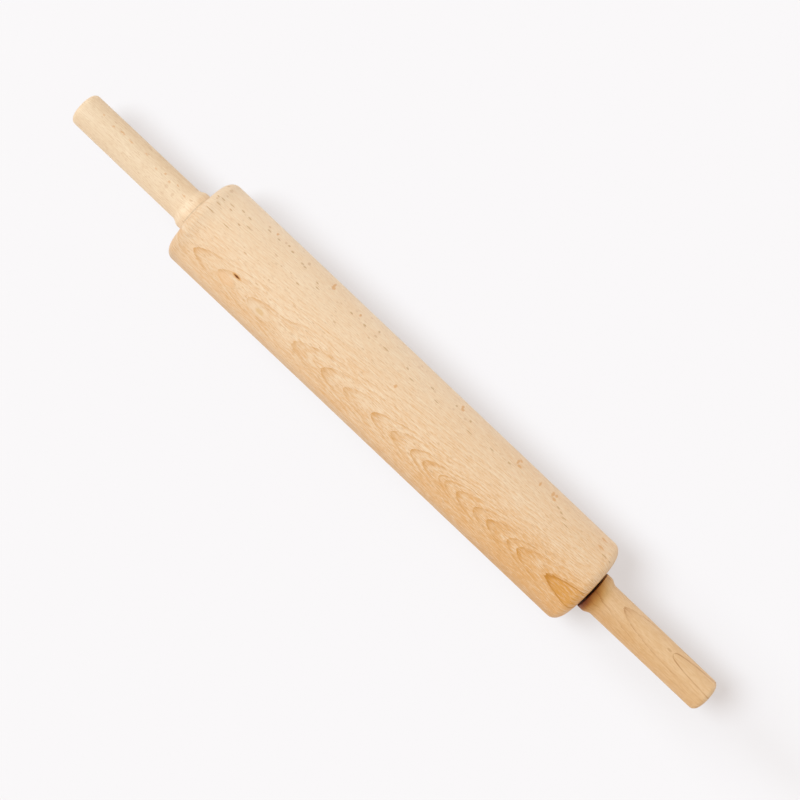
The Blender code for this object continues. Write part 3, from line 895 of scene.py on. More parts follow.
def roller_material(wood):
    material, tree, shader, here = new_material("roller_beech_finish")
    radius = height_radius("roller") * MILLIMETRES
    low, high = (x * MILLIMETRES for x in span("roller"))
    place = on_plain_round(tree, grain_place(tree, here, ROLLER_TILT, ROLLER_RUN_OUT), radius)
    crest = crest_place(tree, place, radius, ROLLER_RISE, ROLLER_BOW)
    rings = ring_count(tree, crest, [tip for tip, _ in ROLLER_TIPS], low, high, ROLLER_RING_SPACING)
    strengths = [(tip + STRENGTH_LAG, strength) for tip, strength in ROLLER_TIPS]
    strengths = [(low, STRENGTH_AT_ENDS[0]), *strengths, (high, STRENGTH_AT_ENDS[1])]

    whole, parts = in_millimetres(tree, here)
    upper = between(tree, parts["Y"], *UPPER_SIDE)
    tone = curve_along(tree, parts["X"], tuple(zip((low, 0, high), TONE_ALONG)))
    warmer = between(tree, parts["X"], *WARMER_ALONG)
    tone = calc(tree, "MULTIPLY_ADD", calc(tree, "SUBTRACT", 1, upper), warmer, tone)
    tone = calc(tree, "ADD", tone, curve_along(tree, parts["Y"], TONE_ACROSS))
    streaky = product(
        tree, between(tree, parts["X"], low, high, *STREAKY_AT_ENDS, smooth=False),
        between(tree, parts["Y"], *STREAKY_ACROSS),
    )
    flecked = product(tree, upper, between(tree, parts["X"], *FLECKED_ALONG))
    flecked = calc(tree, "MULTIPLY_ADD", flecked, FLECKED_MORE, FLECKED_EVERYWHERE)

    # Painted shade: greyer towards the near side and the left end
    near_side = between(tree, parts["Y"], *NEAR_SIDE_SHADE)
    left_end = between(tree, parts["X"], *starting_at(low, LEFT_END_SHADE))
    # Brown painted shade on the right end, beside the gap to the right handle, strongest towards the rim
    from_centre = calc_vector(tree, "SUBTRACT", whole, (0, 0, axis_height() * MILLIMETRES))
    painted_shade = product(
        tree, between(tree, parts["X"], *starting_at(high, ROLLER_RIGHT_END_SHADE)),
        between(tree, distance_from_axis(tree, from_centre), *ROLLER_RIGHT_FACE_SHADE),
    )

    torn = ragged_place(tree, place, *PATCH_TEAR)
    patch_crest = crest_place(tree, torn, radius, PATCH_RISE, ROLLER_BOW)
    patch, rim, outline = (
        between(tree, patch_crest, *starting_at(PATCH_TIP, ramp))
        for ramp in (PATCH_START, PATCH_RIM, PATCH_OUTLINE)
    )
    streaks = between(tree, noise(tree, place, *PATCH_NOISE), *PATCH_STREAKS)
    solid = calc(tree, "MAXIMUM", streaks, rim)

    spot = ragged_place(tree, whole, *SPOT_EDGE)
    dash = ragged_place(tree, whole, *DASH_EDGE)
    beech = beech_skin(tree, wood, "roller", {
        "Place": place, "Rings": rings, "Ring Strength": curve_along(tree, crest, strengths),
        "Ring Fade": ROLLER_RING_FADE, "Tone": tone, "Streak Strength": streaky, "Fleck Strength": flecked,
    })
    skin = paint(tree, beech["Color"], (
        (marks(tree, spot, BLUSH, radius), wood.blush),
        (marks(tree, spot, CLEAR, radius), wood.roller_pale),
        (marks(tree, spot, EYE, radius), wood.eye),
        (product(tree, patch, solid, PATCH_SHARE), wood.patch),
        (product(tree, patch, outline), wood.patch_edge),
        (marks(tree, spot, FLAKES, radius), wood.flake),
        (marks(tree, dash, PORE_MARKS, radius), wood.pore),
        (marks(tree, whole, KNOT_RIM, radius), wood.patch),
        (marks(tree, whole, PIN_KNOT, radius), wood.knot),
    ))
    # Brown painted shade on the right end
    skin = paint_brown_shade(tree, skin, painted_shade, wood.painted_shade)
    # Grey painted shade on the near side and at the left end
    skin = darken_by_painted_shade(tree, skin, product(tree, near_side, left_end))
    dress(tree, shader, beech, skin, WOOD_BUMP, WOOD_SHINE)
    return material


# The handles: the right one is cut flat and shows two tips, and the left one is cut on the quarter and
# shows flecks
HANDLE_BOW = 90
HANDLE_STREAKS = 0.7

LEFT_TILT = radians(99)
LEFT_RISE = 0.05
LEFT_RING_SPACING = 24
LEFT_RING_STRENGTH = 0.35
LEFT_RING_FADE = 3
LEFT_FLECKED = 0.5
LEFT_FAR_TONE = (2.5, 8.5, 0.3, 0.58)
LEFT_NEAR_TONE = (0, -9, 0, 0.17)
LEFT_COLLAR_TONE = (14, 5, 0, -0.14)
# The thin line of painted shadow on the left collar, where its gap to the roller is: its place from the face,
# and its ramps off that place and across
LEFT_GAP_SHADOW_PLACE = 1.1
LEFT_GAP_SHADOW = (0.6, 0.15, 0, 0.17)
LEFT_GAP_SHADOW_ACROSS = (10.5, 5)
# Painted shade on the left collar, deepening towards its face
LEFT_COLLAR_SHADE = (4.5, 0.8, 0, 0.03)
LEFT_MARKS = 0.5, (
    (-225.5, 4.6, 0.9, 0.5), (-217, 3.7, 1.2, 0.6), (-211, 4.6, 1.8, 0.6), (-204.5, 4.2, 2.2, 0.5),
    (-193.5, 5, 1.5, 0.5), (-184, 3, 1.2, 0.5), (-178.5, 4.4, 0.9, 0.7), (-174, 2.6, 1.1, 0.6),
    (-169, 4.5, 1, 0.5), (-162.5, 2.6, 1.5, 0.5),
)

RIGHT_TIPS = (137, 168.3, 206)
RIGHT_TILT = radians(-29)
RIGHT_RISE = 0.113
RIGHT_RING_SPACING = 20
RIGHT_RING_STRENGTH = 1
RIGHT_RING_FADE = 12
RIGHT_CREST = (110, 250)
# Past 190 mm the right handle's grain runs flatter: place along the pin, then the share of this reach
# that it has got along its crest
RIGHT_BENDS = ((110, 0), (190, 0.8), (215, 0.9), (295, 1))
RIGHT_BEND_REACH = 100
RIGHT_FLECKED = 0.2
RIGHT_TONE = (3, -8, 0.47, 0.74)
# Ramps of the painted shade on the right collar next to the roller: along from its face, across, at its near
# corner and on its face
RIGHT_COLLAR_SHADE_ALONG = (12, 0)
RIGHT_COLLAR_SHADE_ACROSS = (11, -1, 0.16, 1)
RIGHT_COLLAR_SHADE_SHARE = 0.7
RIGHT_CORNER_ALONG = (4, 0, 0, 0.5)
RIGHT_CORNER_ACROSS = (-1, -9)
RIGHT_COLLAR_FACE_SHADE = (0.3, 0.1, 0, 0.25)
# The second tip on the right handle: its place along and across, how fast its two lines part, and the
# ramps of their width, start and fading
TONGUE = (207.8, 5)
TONGUE_OPENING = 3.05
TONGUE_WIDTH = (0.5, 0.1)
TONGUE_START = (-0.6, 0.2)
TONGUE_FADE = (2, 26, 0.8, 0.5)
TONGUE_PATCHY = (0.3, 0.6, 0.55, 1)
TONGUE_SMUDGE = 0.4, ((204.4, 5.2, 1.8, 0.7),)


def grip_radius():
    sizes = settings().handle
    return (sizes.grip_start_radius + sizes.grip_end_radius) / 2 * MILLIMETRES


def left_handle_material(wood):
    material, tree, shader, here = new_material("left_handle_beech_finish")
    radius = grip_radius()
    place = on_plain_round(tree, grain_place(tree, here, LEFT_TILT), radius)
    crest = crest_place(tree, place, radius, LEFT_RISE, HANDLE_BOW)
    whole, parts = in_millimetres(tree, here)
    from_face = calc(tree, "SUBTRACT", span("left_handle")[1] * MILLIMETRES, parts["X"])

    # The collar has a thin dark line of painted shadow where its gap to the roller is, and a little painted
    # shade towards its face
    off_line = calc(tree, "ABSOLUTE", calc(tree, "SUBTRACT", from_face, LEFT_GAP_SHADOW_PLACE))
    on_top = between(tree, calc(tree, "ABSOLUTE", parts["Y"]), *LEFT_GAP_SHADOW_ACROSS)
    painted_shade = product(tree, between(tree, off_line, *LEFT_GAP_SHADOW), on_top)
    painted_shade = calc(tree, "ADD", painted_shade, between(tree, from_face, *LEFT_COLLAR_SHADE))

    tone = between(tree, parts["Y"], *LEFT_FAR_TONE)
    tone = calc(tree, "ADD", tone, between(tree, parts["Y"], *LEFT_NEAR_TONE))
    tone = calc(tree, "ADD", tone, between(tree, from_face, *LEFT_COLLAR_TONE))
    beech = beech_skin(tree, wood, "left", {
        "Place": place, "Rings": product(tree, crest, 1 / LEFT_RING_SPACING),
        "Ring Strength": LEFT_RING_STRENGTH, "Ring Fade": LEFT_RING_FADE, "Tone": tone,
        "Streak Strength": HANDLE_STREAKS, "Fleck Strength": LEFT_FLECKED,
    })
    spots = marks(tree, ragged_place(tree, whole, *HANDLE_SPOT_EDGE), LEFT_MARKS, radius)
    skin = blend(tree, spots, beech["Color"], wood.flake)
    # Grey painted shadow and shade on the collar
    skin = darken_by_painted_shade(tree, skin, calc(tree, "SUBTRACT", 1, painted_shade))
    dress(tree, shader, beech, skin, WOOD_BUMP, WOOD_SHINE)
    return material


def right_handle_material(wood):
    material, tree, shader, here = new_material("right_handle_beech_finish")
    radius = grip_radius()
    face = span("right_handle")[0] * MILLIMETRES
    place = on_plain_round(tree, grain_place(tree, here, RIGHT_TILT), radius)
    whole, parts = in_millimetres(tree, here)
    bent = curve_along(tree, parts["X"], RIGHT_BENDS)
    bent = calc(tree, "MULTIPLY_ADD", bent, RIGHT_BEND_REACH, RIGHT_BENDS[0][0])
    crest = crest_place(tree, place, radius, RIGHT_RISE, HANDLE_BOW, along=bent)
    rings = ring_count(tree, crest, RIGHT_TIPS, *RIGHT_CREST, RIGHT_RING_SPACING)

    # The collar is browned by painted shade next to the roller, most on its near side, at its near corner and
    # on its face
    nearness = between(tree, parts["X"], *starting_at(face, RIGHT_COLLAR_SHADE_ALONG), smooth=False)
    across = between(tree, parts["Y"], *RIGHT_COLLAR_SHADE_ACROSS)
    corner = between(tree, parts["X"], *starting_at(face, RIGHT_CORNER_ALONG), smooth=False)
    painted_shade = product(tree, nearness, nearness, RIGHT_COLLAR_SHADE_SHARE, across)
    painted_shade = calc(tree, "MULTIPLY_ADD", corner, between(tree, parts["Y"], *RIGHT_CORNER_ACROSS), painted_shade)
    painted_shade = calc(tree, "ADD", painted_shade, between(tree, parts["X"], *starting_at(face, RIGHT_COLLAR_FACE_SHADE)))

    # Two thin lines run out from the second tip, fast at first and then almost side by side
    past_tip = calc(tree, "SUBTRACT", parts["X"], TONGUE[0])
    opening = product(tree, calc(tree, "MAXIMUM", past_tip, 0), TONGUE_OPENING)
    half_width = calc(tree, "POWER", opening, 1 / 3)
    aside = calc(tree, "ABSOLUTE", calc(tree, "SUBTRACT", parts["Y"], TONGUE[1]))
    off_line = calc(tree, "ABSOLUTE", calc(tree, "SUBTRACT", aside, half_width))
    patchy = between(tree, noise(tree, place, *TONGUE_NOISE), *TONGUE_PATCHY)
    tongue = product(
        tree, between(tree, off_line, *TONGUE_WIDTH), between(tree, past_tip, *TONGUE_START),
        between(tree, past_tip, *TONGUE_FADE), patchy,
    )
    tongue = calc(tree, "MAXIMUM", tongue, marks(tree, whole, TONGUE_SMUDGE, radius))

    beech = beech_skin(tree, wood, "right", {
        "Place": place, "Rings": rings, "Ring Strength": RIGHT_RING_STRENGTH, "Ring Fade": RIGHT_RING_FADE,
        "Tone": between(tree, parts["Y"], *RIGHT_TONE), "Streak Strength": HANDLE_STREAKS,
        "Fleck Strength": RIGHT_FLECKED,
    })
    skin = blend(tree, tongue, beech["Color"], wood.right_line)
    # Brown painted shade on the collar next to the roller
    skin = paint_brown_shade(tree, skin, painted_shade, wood.painted_shade)
    dress(tree, shader, beech, skin, WOOD_BUMP, WOOD_SHINE)
    return material


def darker(shade, by):
    return tuple(part * by for part in shade)


# Metal, nylon and rubber, by slot: the colour's name, what wear multiplies it by, how rough it is where
# clean and where worn, the size of its scratches along each axis in metres, how metallic and how shiny
WORN_FINISHES = {
    "rod_steel": ("rod", 0.8, 0.24, 0.42, (0.03, 0.0002, 0.0002), 1, 0.5),
    "washer_nylon": ("washer", 1.9, 0.5, 0.68, (0.0004,) * 3, 0, 0.4),
    "race_steel": ("race", 0.82, 0.14, 0.32, (0.0002, 0.004, 0.004), 1, 0.5),
    "seal_rubber": ("seal", 1.7, 0.55, 0.75, (0.0003,) * 3, 0, 0.3),
    "cage_brass": ("cage", 0.75, 0.28, 0.48, (0.0006,) * 3, 1, 0.5),
    "ball_steel": ("ball", 0.88, 0.05, 0.14, (0.0008,) * 3, 1, 0.5),
}


def worn_material(slot):
    """The finish of a slot that isn't wood, with its fine scratches and bloom."""
    colour_name, wear, smooth, rough, scratch_size, metallic, shine = WORN_FINISHES[slot]
    clean = getattr(settings().metal, colour_name)
    material, tree, shader, here = new_material(slot + "_finish")
    scale = [1 / size for size in scratch_size]
    place = put(tree, "ShaderNodeMapping", {"Vector": here, "Scale": scale}).outputs["Vector"]
    skin = use_group(tree, "Fine Wear", build_wear, {
        "Place": place, "Smooth": smooth, "Rough": rough, "Clean": clean, "Worn": darker(clean, wear),
    })
    shader["Metallic"].default_value = metallic
    dress(tree, shader, skin, skin["Color"], WEAR_BUMP, shine)
    return material


# Operators


# A pocket's ledge is made of faces with this many corners, and its floor is one face with many more
LEDGE_CORNERS = 4

WASHER_EDGE_STEPS = 3


def finish_pair(right, node, finish, bodies, centre_x=0):
    """Copies the right one of two pieces to the left, and lets both stand for their CAD nodes."""
    left = copy_turned(right, name_of("left_" + node), centre_x)
    for side, piece, body in zip(SIDES, (left, right), bodies):
        finish_piece(piece, side + node, finish, body)


def select_pocket_floors(places):
    """Selects the round faces at the bottoms of the pockets, and not the ledges round them."""
    select_faces_across(places)
    mesh = bmesh.from_edit_mesh(bpy.context.object.data)
    for face in mesh.faces:
        if face.select and len(face.verts) == LEDGE_CORNERS:
            face.select = False
    mesh.select_flush_mode()
    bmesh.update_edit_mesh(bpy.context.object.data)


class ROLLINGPIN_OT_roller(bpy.types.Operator):
    """Turn the roller: rounded ends, a bearing pocket in each, and a bore that clears the rod"""

    bl_idname = "rollingpin.roller"
    bl_label = "Roller"

    def execute(self, context):
        sizes = settings().roller
        low, high = span("roller")
        radius = height_radius("roller")
        inner = high - sizes.round_length
        centre_x = (low + high) / 2
        pocket_end = span("right_outer_race")[0] - settings().bearing.seat_gap
        reach = (sizes.round_length, sizes.round_depth)
        right = [
            *arc((inner, radius - sizes.round_depth), reach, 90, 0, sizes.edge_steps)[1:],
            (high, sizes.pocket_radius + sizes.pocket_chamfer),
            (high - sizes.pocket_chamfer, sizes.pocket_radius),
            (pocket_end, sizes.pocket_radius),
            (pocket_end, sizes.pocket_radius - sizes.ledge),
        ]
        left = [(2 * centre_x - x, r) for x, r in right]
        start_cylinder((2 * centre_x - inner, radius), (inner, radius), sizes.segments)
        for first, stations in ((inner, right), (2 * centre_x - inner, left)):
            select_faces_across([first])
            grow_cap((first, radius), stations)
        select_pocket_floors([stations[-1][0] for stations in (right, left)])
        bpy.ops.mesh.bridge_edge_loops()
        clean_surface()
        roller = settle(name_of("roller"))
        finish_piece(roller, "roller", roller_material(settings().wood), "roller")
        return {"FINISHED"}


class ROLLINGPIN_OT_handles(bpy.types.Operator):
    """Turn a handle with its collar, cove, tapering grip and blind socket, and copy it to the other end"""

    bl_idname = "rollingpin.handles"
    bl_label = "Handles"

    def execute(self, context):
        sizes = settings().handle
        steps, rows = sizes.edge_steps, sizes.grip_rows
        face, end = span("right_handle")
        cove_end = face + sizes.collar_length + sizes.cove_length
        grip_stop = end - sizes.round_length
        taper = sizes.grip_end_radius - sizes.grip_start_radius
        grip = [
            (cove_end + (grip_stop - cove_end) * i / rows, sizes.grip_start_radius + taper * i / rows)
            for i in range(rows + 1)
        ]
        reach = (sizes.round_length, sizes.round_depth)
        rounding = arc((grip_stop, sizes.grip_end_radius - sizes.round_depth), reach, 90, 0, steps)[1:]

        flare_length = sizes.shoulder_length + sizes.cove_length
        flare_rise = sizes.collar_radius - sizes.grip_start_radius
        turns = [pi * i / (2 * steps) for i in range(1, 2 * steps + 1)]
        flare = [
            (cove_end - flare_length * turn / pi, sizes.grip_start_radius + flare_rise * (1 - cos(turn)) / 2)
            for turn in turns
        ]
        edge = sizes.inner_edge
        inner_edge = arc((face + edge, sizes.collar_radius - edge), (edge, edge), 90, 180, steps)
        socket = [
            (face, sizes.socket_radius + sizes.socket_chamfer),
            (face + sizes.socket_chamfer, sizes.socket_radius),
            (end - sizes.socket_floor, sizes.socket_radius),
        ]

        first, second = grip[:2]
        start_cylinder(first, second, sizes.segments)
        select_faces_across([second[0]])
        ratio = second[1] / first[1]
        bpy.ops.transform.resize(value=(1, ratio, ratio), center_override=(second[0], 0, axis_height()))
        grow_cap(second, grip[2:] + rounding)
        select_faces_across([first[0]])
        grow_cap(first, flare + inner_edge + socket)
        clean_surface()
        right = settle(name_of("right_handle"))
        left = copy_turned(right, name_of("left_handle"), 0)
        wood = settings().wood
        finish_piece(left, "left_handle", left_handle_material(wood), "handles")
        finish_piece(right, "right_handle", right_handle_material(wood), "handles")
        return {"FINISHED"}


class ROLLINGPIN_OT_rod(bpy.types.Operator):
    """Turn the steel rod with a chamfer at each end"""

    bl_idname = "rollingpin.rod"
    bl_label = "Rod"

    def execute(self, context):
        sizes = settings().bearing
        radius, chamfer = sizes.rod_radius, sizes.rod_chamfer
        low, high = span("axle_rod")
        ends = ((high - chamfer, high), (low + chamfer, low))
        start_cylinder((low + chamfer, radius), (high - chamfer, radius), sizes.segments)
        for place, end in ends:
            select_faces_across([place])
            grow_cap((place, radius), [(end, radius - chamfer)])
        clean_surface()
        rod = settle(name_of("axle_rod"))
        finish_piece(rod, "axle_rod", worn_material("rod_steel"), "handles")
        return {"FINISHED"}


class ROLLINGPIN_OT_washers(bpy.types.Operator):
    """Spin a thrust washer with rounded edges, and copy it to the other end"""

    bl_idname = "rollingpin.washers"
    bl_label = "Thrust Washers"

    def execute(self, context):
        sizes = settings().bearing
        low, high = span("right_thrust_washer")
        edge = sizes.washer_edge
        bore = sizes.rod_radius + sizes.seat_gap
        outside = bore + sizes.washer_wall
        corners = (
            ((high - edge, outside - edge), 0),
            ((low + edge, outside - edge), 90),
            ((low + edge, bore + edge), 180),
            ((high - edge, bore + edge), 270),
        )
        outline = []
        for centre, start in corners:
            outline += arc(centre, (edge, edge), start, start + 90, WASHER_EDGE_STEPS)
        right = spin_outline(name_of("right_thrust_washer"), outline, sizes.segments)
        finish = worn_material("washer_nylon")
        finish_pair(right, "thrust_washer", finish, ("handles", "handles"))
        return {"FINISHED"}


# Places and sizes that the pieces of a bearing share


def bearing_middle():
    """The middle of the right bearing along the pin, and half its width."""
    low, high = span("right_outer_race")
    return (low + high) / 2, (high - low) / 2


def bearing_centre_x():
    """The place along the pin that the two bearings are mirrored about."""
    return (middle("left_outer_race").x + middle("right_outer_race").x) / 2


def pitch_radius():
    """How far the balls' centres lie from the pin's axis."""
    return middle("right_ball_1").z - axis_height()


def ball_radius():
    return height_radius("right_ball_1")


def shoulder_rise():
    """How far the race shoulders stand from the circle of the balls' centres."""
    return ball_radius() * settings().bearing.shoulder_share


def groove_angle():
    """How far round the ball, in degrees from the axis, the groove meets the race's shoulder."""
    return asin(shoulder_rise() / (ball_radius() + settings().bearing.running_gap)) * 180 / pi


def seal_seat():
    """How far from the bearing's middle the seals' seats lie."""
    return span("right_outboard_seal")[0] - settings().bearing.seat_gap - bearing_middle()[0]


class ROLLINGPIN_OT_races(bpy.types.Operator):
    """Spin an outer and an inner race with their ball grooves, and copy them to the other end"""

    bl_idname = "rollingpin.races"
    bl_label = "Bearing Races"

    def execute(self, context):
        sizes = settings().bearing
        middle_x, half = bearing_middle()
        side = middle_x + half
        pitch, reach = pitch_radius(), ball_radius() + sizes.running_gap
        rise, turn, chamfer = shoulder_rise(), groove_angle(), sizes.race_chamfer

        inner_shoulder = pitch - rise
        bore = sizes.rod_radius + sizes.slip_gap
        inner_groove = arc((middle_x, pitch), (reach, reach), -turn, turn - 180, sizes.groove_steps)
        inner_right = [(side, inner_shoulder - chamfer), (side - chamfer, inner_shoulder)]
        bore_right = [(side - chamfer, bore), (side, bore + chamfer)]
        inner_outline = [
            *inner_right, *inner_groove, *mirrored(inner_right, middle_x), *mirrored(bore_right, middle_x),
            *bore_right,
        ]

        outer_shoulder = pitch + rise
        seat = middle_x + seal_seat()
        outer_groove = arc((middle_x, pitch), (reach, reach), 180 - turn, turn, sizes.groove_steps)
        outer_right = [(side, sizes.race_radius - chamfer), (side - chamfer, sizes.race_radius)]
        seat_right = [
            (seat, outer_shoulder),
            (seat, outer_shoulder + sizes.seal_ledge),
            (side, outer_shoulder + sizes.seal_ledge),
        ]
        outer_outline = [
            *outer_right, *mirrored(outer_right, middle_x), *mirrored(seat_right, middle_x), *outer_groove,
            *seat_right,
        ]

        finish = worn_material("race_steel")
        rows = (("outer_race", outer_outline, "roller"), ("inner_race", inner_outline, "inner_races"))
        for node, outline, body in rows:
            right = spin_outline(name_of("right_" + node), outline, sizes.segments)
            finish_pair(right, node, finish, (body, body), bearing_centre_x())
        return {"FINISHED"}


class ROLLINGPIN_OT_seals(bpy.types.Operator):
    """Spin a rubber seal with its lip and moulded groove, and copy it to the other three places"""

    bl_idname = "rollingpin.seals"
    bl_label = "Seals"

    def execute(self, context):
        sizes = settings().bearing
        back, face = span("right_outboard_seal")
        outside = pitch_radius() + shoulder_rise() + sizes.seal_ledge - sizes.seat_gap
        inside = pitch_radius() - shoulder_rise() + sizes.running_gap
        lip, rib = sizes.seal_lip, sizes.seal_rib
        groove = (outside + inside) / 2
        outline = [
            (face, outside - rib),
            (face - rib, outside),
            (back, outside),
            (back, inside),
            (face - lip, inside),
            (face, inside + lip),
            (face, groove - 2 * rib),
            (face - rib, groove - rib),
            (face - rib, groove + rib),
            (face, groove + 2 * rib),
        ]
        finish = worn_material("seal_rubber")
        outboard = spin_outline(name_of("right_outboard_seal"), outline, sizes.segments)
        inboard = copy_turned(outboard, name_of("right_inboard_seal"), bearing_middle()[0])
        for right, node in ((outboard, "outboard_seal"), (inboard, "inboard_seal")):
            finish_pair(right, node, finish, ("roller", "roller"), bearing_centre_x())
        return {"FINISHED"}


class ROLLINGPIN_OT_cages(bpy.types.Operator):
    """Spin a brass ball cage, cut its seven snap-in pockets, and copy it to the other end"""

    bl_idname = "rollingpin.cages"
    bl_label = "Ball Cages"

    def execute(self, context):
        sizes = settings().bearing
        low, high = span("right_ball_cage")
        outside = pitch_radius() + sizes.cage_wall / 2
        inside = pitch_radius() - sizes.cage_wall / 2
        outline = [(high, outside), (low, outside), (low, inside), (high, inside)]
        right = spin_outline(name_of("right_ball_cage"), outline, sizes.segments)
        cutters = []
        for number in range(1, BALL_COUNT + 1):
            leave_nothing_selected()
            bpy.ops.mesh.primitive_uv_sphere_add(
                segments=sizes.ball_segments, ring_count=sizes.ball_segments // 2,
                radius=ball_radius() + sizes.running_gap, location=middle(f"right_ball_{number}"),
            )
            bpy.ops.object.transform_apply(location=True, rotation=True, scale=True)
            cutters.append(bpy.context.object)
        select_only(cutters[0])
        for cutter in cutters:
            cutter.select_set(True)
        bpy.ops.object.join()
        cutter = bpy.context.object
        select_only(right)
        cut = right.modifiers.new("Pockets", "BOOLEAN")
        cut.operation = "DIFFERENCE"
        cut.solver = "EXACT"
        cut.object = cutter
        bpy.ops.object.modifier_apply(modifier=cut.name)
        bpy.data.objects.remove(cutter)
        finish = worn_material("cage_brass")
        finish_pair(right, "ball_cage", finish, ("left_cage", "right_cage"), bearing_centre_x())
        return {"FINISHED"}


class ROLLINGPIN_OT_balls(bpy.types.Operator):
    """Spin one bearing ball and copy it to its fourteen places"""

    bl_idname = "rollingpin.balls"
    bl_label = "Balls"

    def execute(self, context):
        steps = settings().bearing.ball_segments
        first = middle("right_ball_1")
        radius = ball_radius()
        outline = arc((first.x, 0), (radius, radius), 0, 180, steps // 2)
        finish = worn_material("ball_steel")
        ball = spin_outline(name_of("right_ball_1"), outline, steps, centre=first, closed=False)
        balls = {"right_ball_1": ball}
        for side in SIDES:
            for number in range(1, BALL_COUNT + 1):
                node = f"{side}ball_{number}"
                if node not in balls:
                    balls[node] = copy_moved(ball, name_of(node), middle(node) - first)
        for node, piece in balls.items():
            finish_piece(piece, node, finish, node.split("_")[0] + "_cage")
        return {"FINISHED"}


class ROLLINGPIN_OT_stage(bpy.types.Operator):
    """Lay the pale floor, place the camera straight above and hang the lamps"""

    bl_idname = "rollingpin.stage"
    bl_label = "Floor, Camera and Lamps"

    def execute(self, context):
        stage = settings().stage
        floor = add_floor(stage)
        add_camera(stage)
        add_softbox(stage)
        keep_light_on("floor_only", floor, [add_far_lamp(stage, name) for name in ("high", "low")])
        add_world(stage)
        context.scene.view_settings.view_transform = "Standard"
        return {"FINISHED"}


# The share of the floor's light that it shows as light and shadow, and what it throws back on the pin
FLOOR_LIT_SHARE = 0.03
FLOOR_BOUNCE = 1.06

# The lamps that only the floor gets are a little cool, so that what they leave in shadow is warm
FLOOR_LAMP_COLOUR = (0.88, 1.01, 1.1)

# How the surrounding light differs from one end of the pin to the other: left handle's end, other end
WORLD_AT_ENDS = (1.35, 0.65)

CLIP_START = 0.05
CLIP_END = 50


def seen_directly(tree):
    """1 for rays from the camera and for those that gloss or glass sends on, and 0 for the rest."""
    path = put(tree, "ShaderNodeLightPath").outputs
    direct = calc(tree, "ADD", path["Is Camera Ray"], path["Is Glossy Ray"])
    return calc(tree, "ADD", direct, path["Is Transmission Ray"], clamp=True)


def add_floor(stage):
    leave_nothing_selected()
    bpy.ops.mesh.primitive_plane_add(size=stage.floor_size, location=(0, 0, 0))
    floor = settle("floor")
    material = bpy.data.materials.new("floor_paint")
    material.use_nodes = True
    tree = material.node_tree
    tree.nodes.remove(tree.nodes["Principled BSDF"])
    from_lamps = stage.high_light + stage.low_light
    light = [stage.ambient + stage.softbox + from_lamps * part for part in FLOOR_LAMP_COLOUR]
    steady_colour = [shade * (1 - FLOOR_LIT_SHARE * level) for shade, level in zip(stage.floor, light)]
    bounce_colour = [shade * FLOOR_BOUNCE / level for shade, level in zip(stage.floor, light)]
    steady = put(tree, "ShaderNodeEmission", {"Color": steady_colour, "Strength": 1})
    lit = put(tree, "ShaderNodeBsdfDiffuse", {"Color": darker(stage.floor, FLOOR_LIT_SHARE)})
    bounce = put(tree, "ShaderNodeBsdfDiffuse", {"Color": bounce_colour})
    shown = put(tree, "ShaderNodeAddShader", {0: steady.outputs[0], 1: lit.outputs[0]})
    shaders = {0: seen_directly(tree), 1: bounce.outputs[0], 2: shown.outputs[0]}
    mix = put(tree, "ShaderNodeMixShader", shaders)
    tree.links.new(mix.outputs[0], tree.nodes["Material Output"].inputs["Surface"])
    floor.data.materials.append(material)
    return floor


def add_camera(stage):
    leave_nothing_selected()
    place = (stage.camera_shift_along, stage.camera_shift_across, stage.camera_height)
    bpy.ops.object.camera_add(location=place, rotation=(0, 0, stage.camera_turn))
    camera = bpy.context.object
    camera.name = "camera"
    camera.data.lens = stage.lens
    camera.data.clip_start = CLIP_START
    camera.data.clip_end = CLIP_END
    bpy.context.scene.camera = camera


def towards(along, across):
    """The direction that leans this far towards the left handle and to the near side from straight up."""
    return Vector((-tan(along), -tan(across), 1))


def hang_lamp(kind, name, place):
    """A lamp of this kind, hung here and aimed at the pin."""
    leave_nothing_selected()
    bpy.ops.object.light_add(type=kind, location=place)
    lamp = bpy.context.object
    lamp.name = name
    lamp.rotation_euler = (-place).to_track_quat("-Z", "Y").to_euler()
    return lamp


def add_softbox(stage):
    """An elliptical softbox. A level of 1 would light the floor below it as brightly as it is painted."""
    place = towards(stage.softbox_along, stage.softbox_across) * stage.softbox_height
    lamp = hang_lamp("AREA", "softbox", place)
    lamp.data.shape = "ELLIPSE"
    lamp.data.size = stage.softbox_width
    lamp.data.size_y = stage.softbox_depth
    lamp.data.energy = stage.softbox * pi * pi * place.length_squared / place.normalized().z


def add_far_lamp(stage, name):
    """A broad far lamp, the high or the low one. A level of 1 would light the floor as it is painted."""
    level, along, across, spread = (
        getattr(stage, f"{name}_{part}") for part in ("light", "along", "across", "spread")
    )
    direction = towards(along, across)
    lamp = hang_lamp("SUN", name + "_light", direction)
    lamp.data.angle = spread
    lamp.data.energy = level * pi / direction.normalized().z
    lamp.data.color = FLOOR_LAMP_COLOUR
    return lamp


def keep_light_on(name, receiver, lamps):
    """Lets the lamps light only this object. Everything still casts its shadow."""
    only = bpy.data.collections.new(name)
    only.objects.link(receiver)
    for lamp in lamps:
        lamp.light_linking.receiver_collection = only


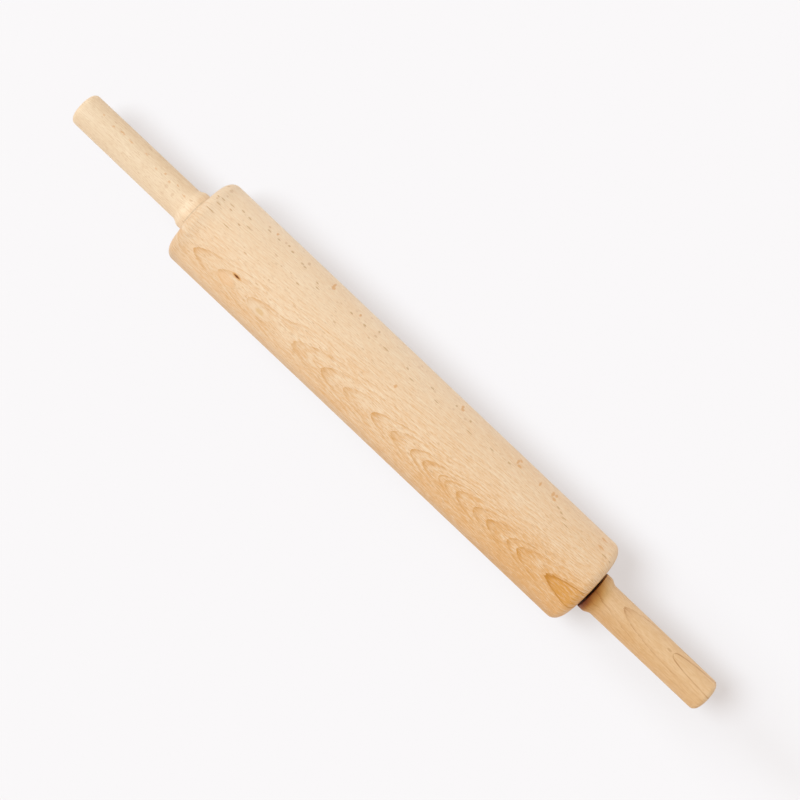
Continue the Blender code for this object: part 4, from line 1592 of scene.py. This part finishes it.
def add_world(stage):
    """Light from all round, a little stronger from the left handle's end than from the other."""
    world = bpy.data.worlds.new("studio")
    bpy.context.scene.world = world
    world.use_nodes = True
    tree = world.node_tree
    background = tree.nodes["Background"].inputs
    along = parts_of(tree, put(tree, "ShaderNodeTexCoord").outputs["Generated"])["X"]
    ends = [stage.ambient * part for part in WORLD_AT_ENDS]
    level = between(tree, along, -1, 1, *ends, smooth=False)
    fill(tree, background["Color"], blend(tree, seen_directly(tree), grey(tree, level), stage.floor))
    background["Strength"].default_value = 1


class ROLLINGPIN_PT_panel(bpy.types.Panel):
    """Lists the stage and the pieces in the order that they are made in"""

    bl_idname = "ROLLINGPIN_PT_panel"
    bl_label = "Rolling Pin"
    bl_space_type = "VIEW_3D"
    bl_region_type = "UI"
    bl_category = "Rolling Pin"

    def draw(self, context):
        for operator in OPERATORS:
            self.layout.operator(operator.bl_idname)


OPERATORS = (
    ROLLINGPIN_OT_stage,
    ROLLINGPIN_OT_roller,
    ROLLINGPIN_OT_handles,
    ROLLINGPIN_OT_rod,
    ROLLINGPIN_OT_washers,
    ROLLINGPIN_OT_races,
    ROLLINGPIN_OT_seals,
    ROLLINGPIN_OT_cages,
    ROLLINGPIN_OT_balls,
)
CLASSES = (
    RollerSizes,
    HandleSizes,
    BearingSizes,
    WoodColours,
    MetalColours,
    StageSettings,
    RollingPinSettings,
    *OPERATORS,
    ROLLINGPIN_PT_panel,
)


def register():
    for cls in CLASSES:
        bpy.utils.register_class(cls)
    bpy.types.Scene.rolling_pin = PointerProperty(type=RollingPinSettings)


def unregister():
    del bpy.types.Scene.rolling_pin
    for cls in reversed(CLASSES):
        bpy.utils.unregister_class(cls)


def main():
    register()
    bpy.ops.rollingpin.stage()
    bpy.ops.rollingpin.roller()
    bpy.ops.rollingpin.handles()
    bpy.ops.rollingpin.rod()
    bpy.ops.rollingpin.washers()
    bpy.ops.rollingpin.races()
    bpy.ops.rollingpin.seals()
    bpy.ops.rollingpin.cages()
    bpy.ops.rollingpin.balls()


if __name__ == "__main__":
    main()
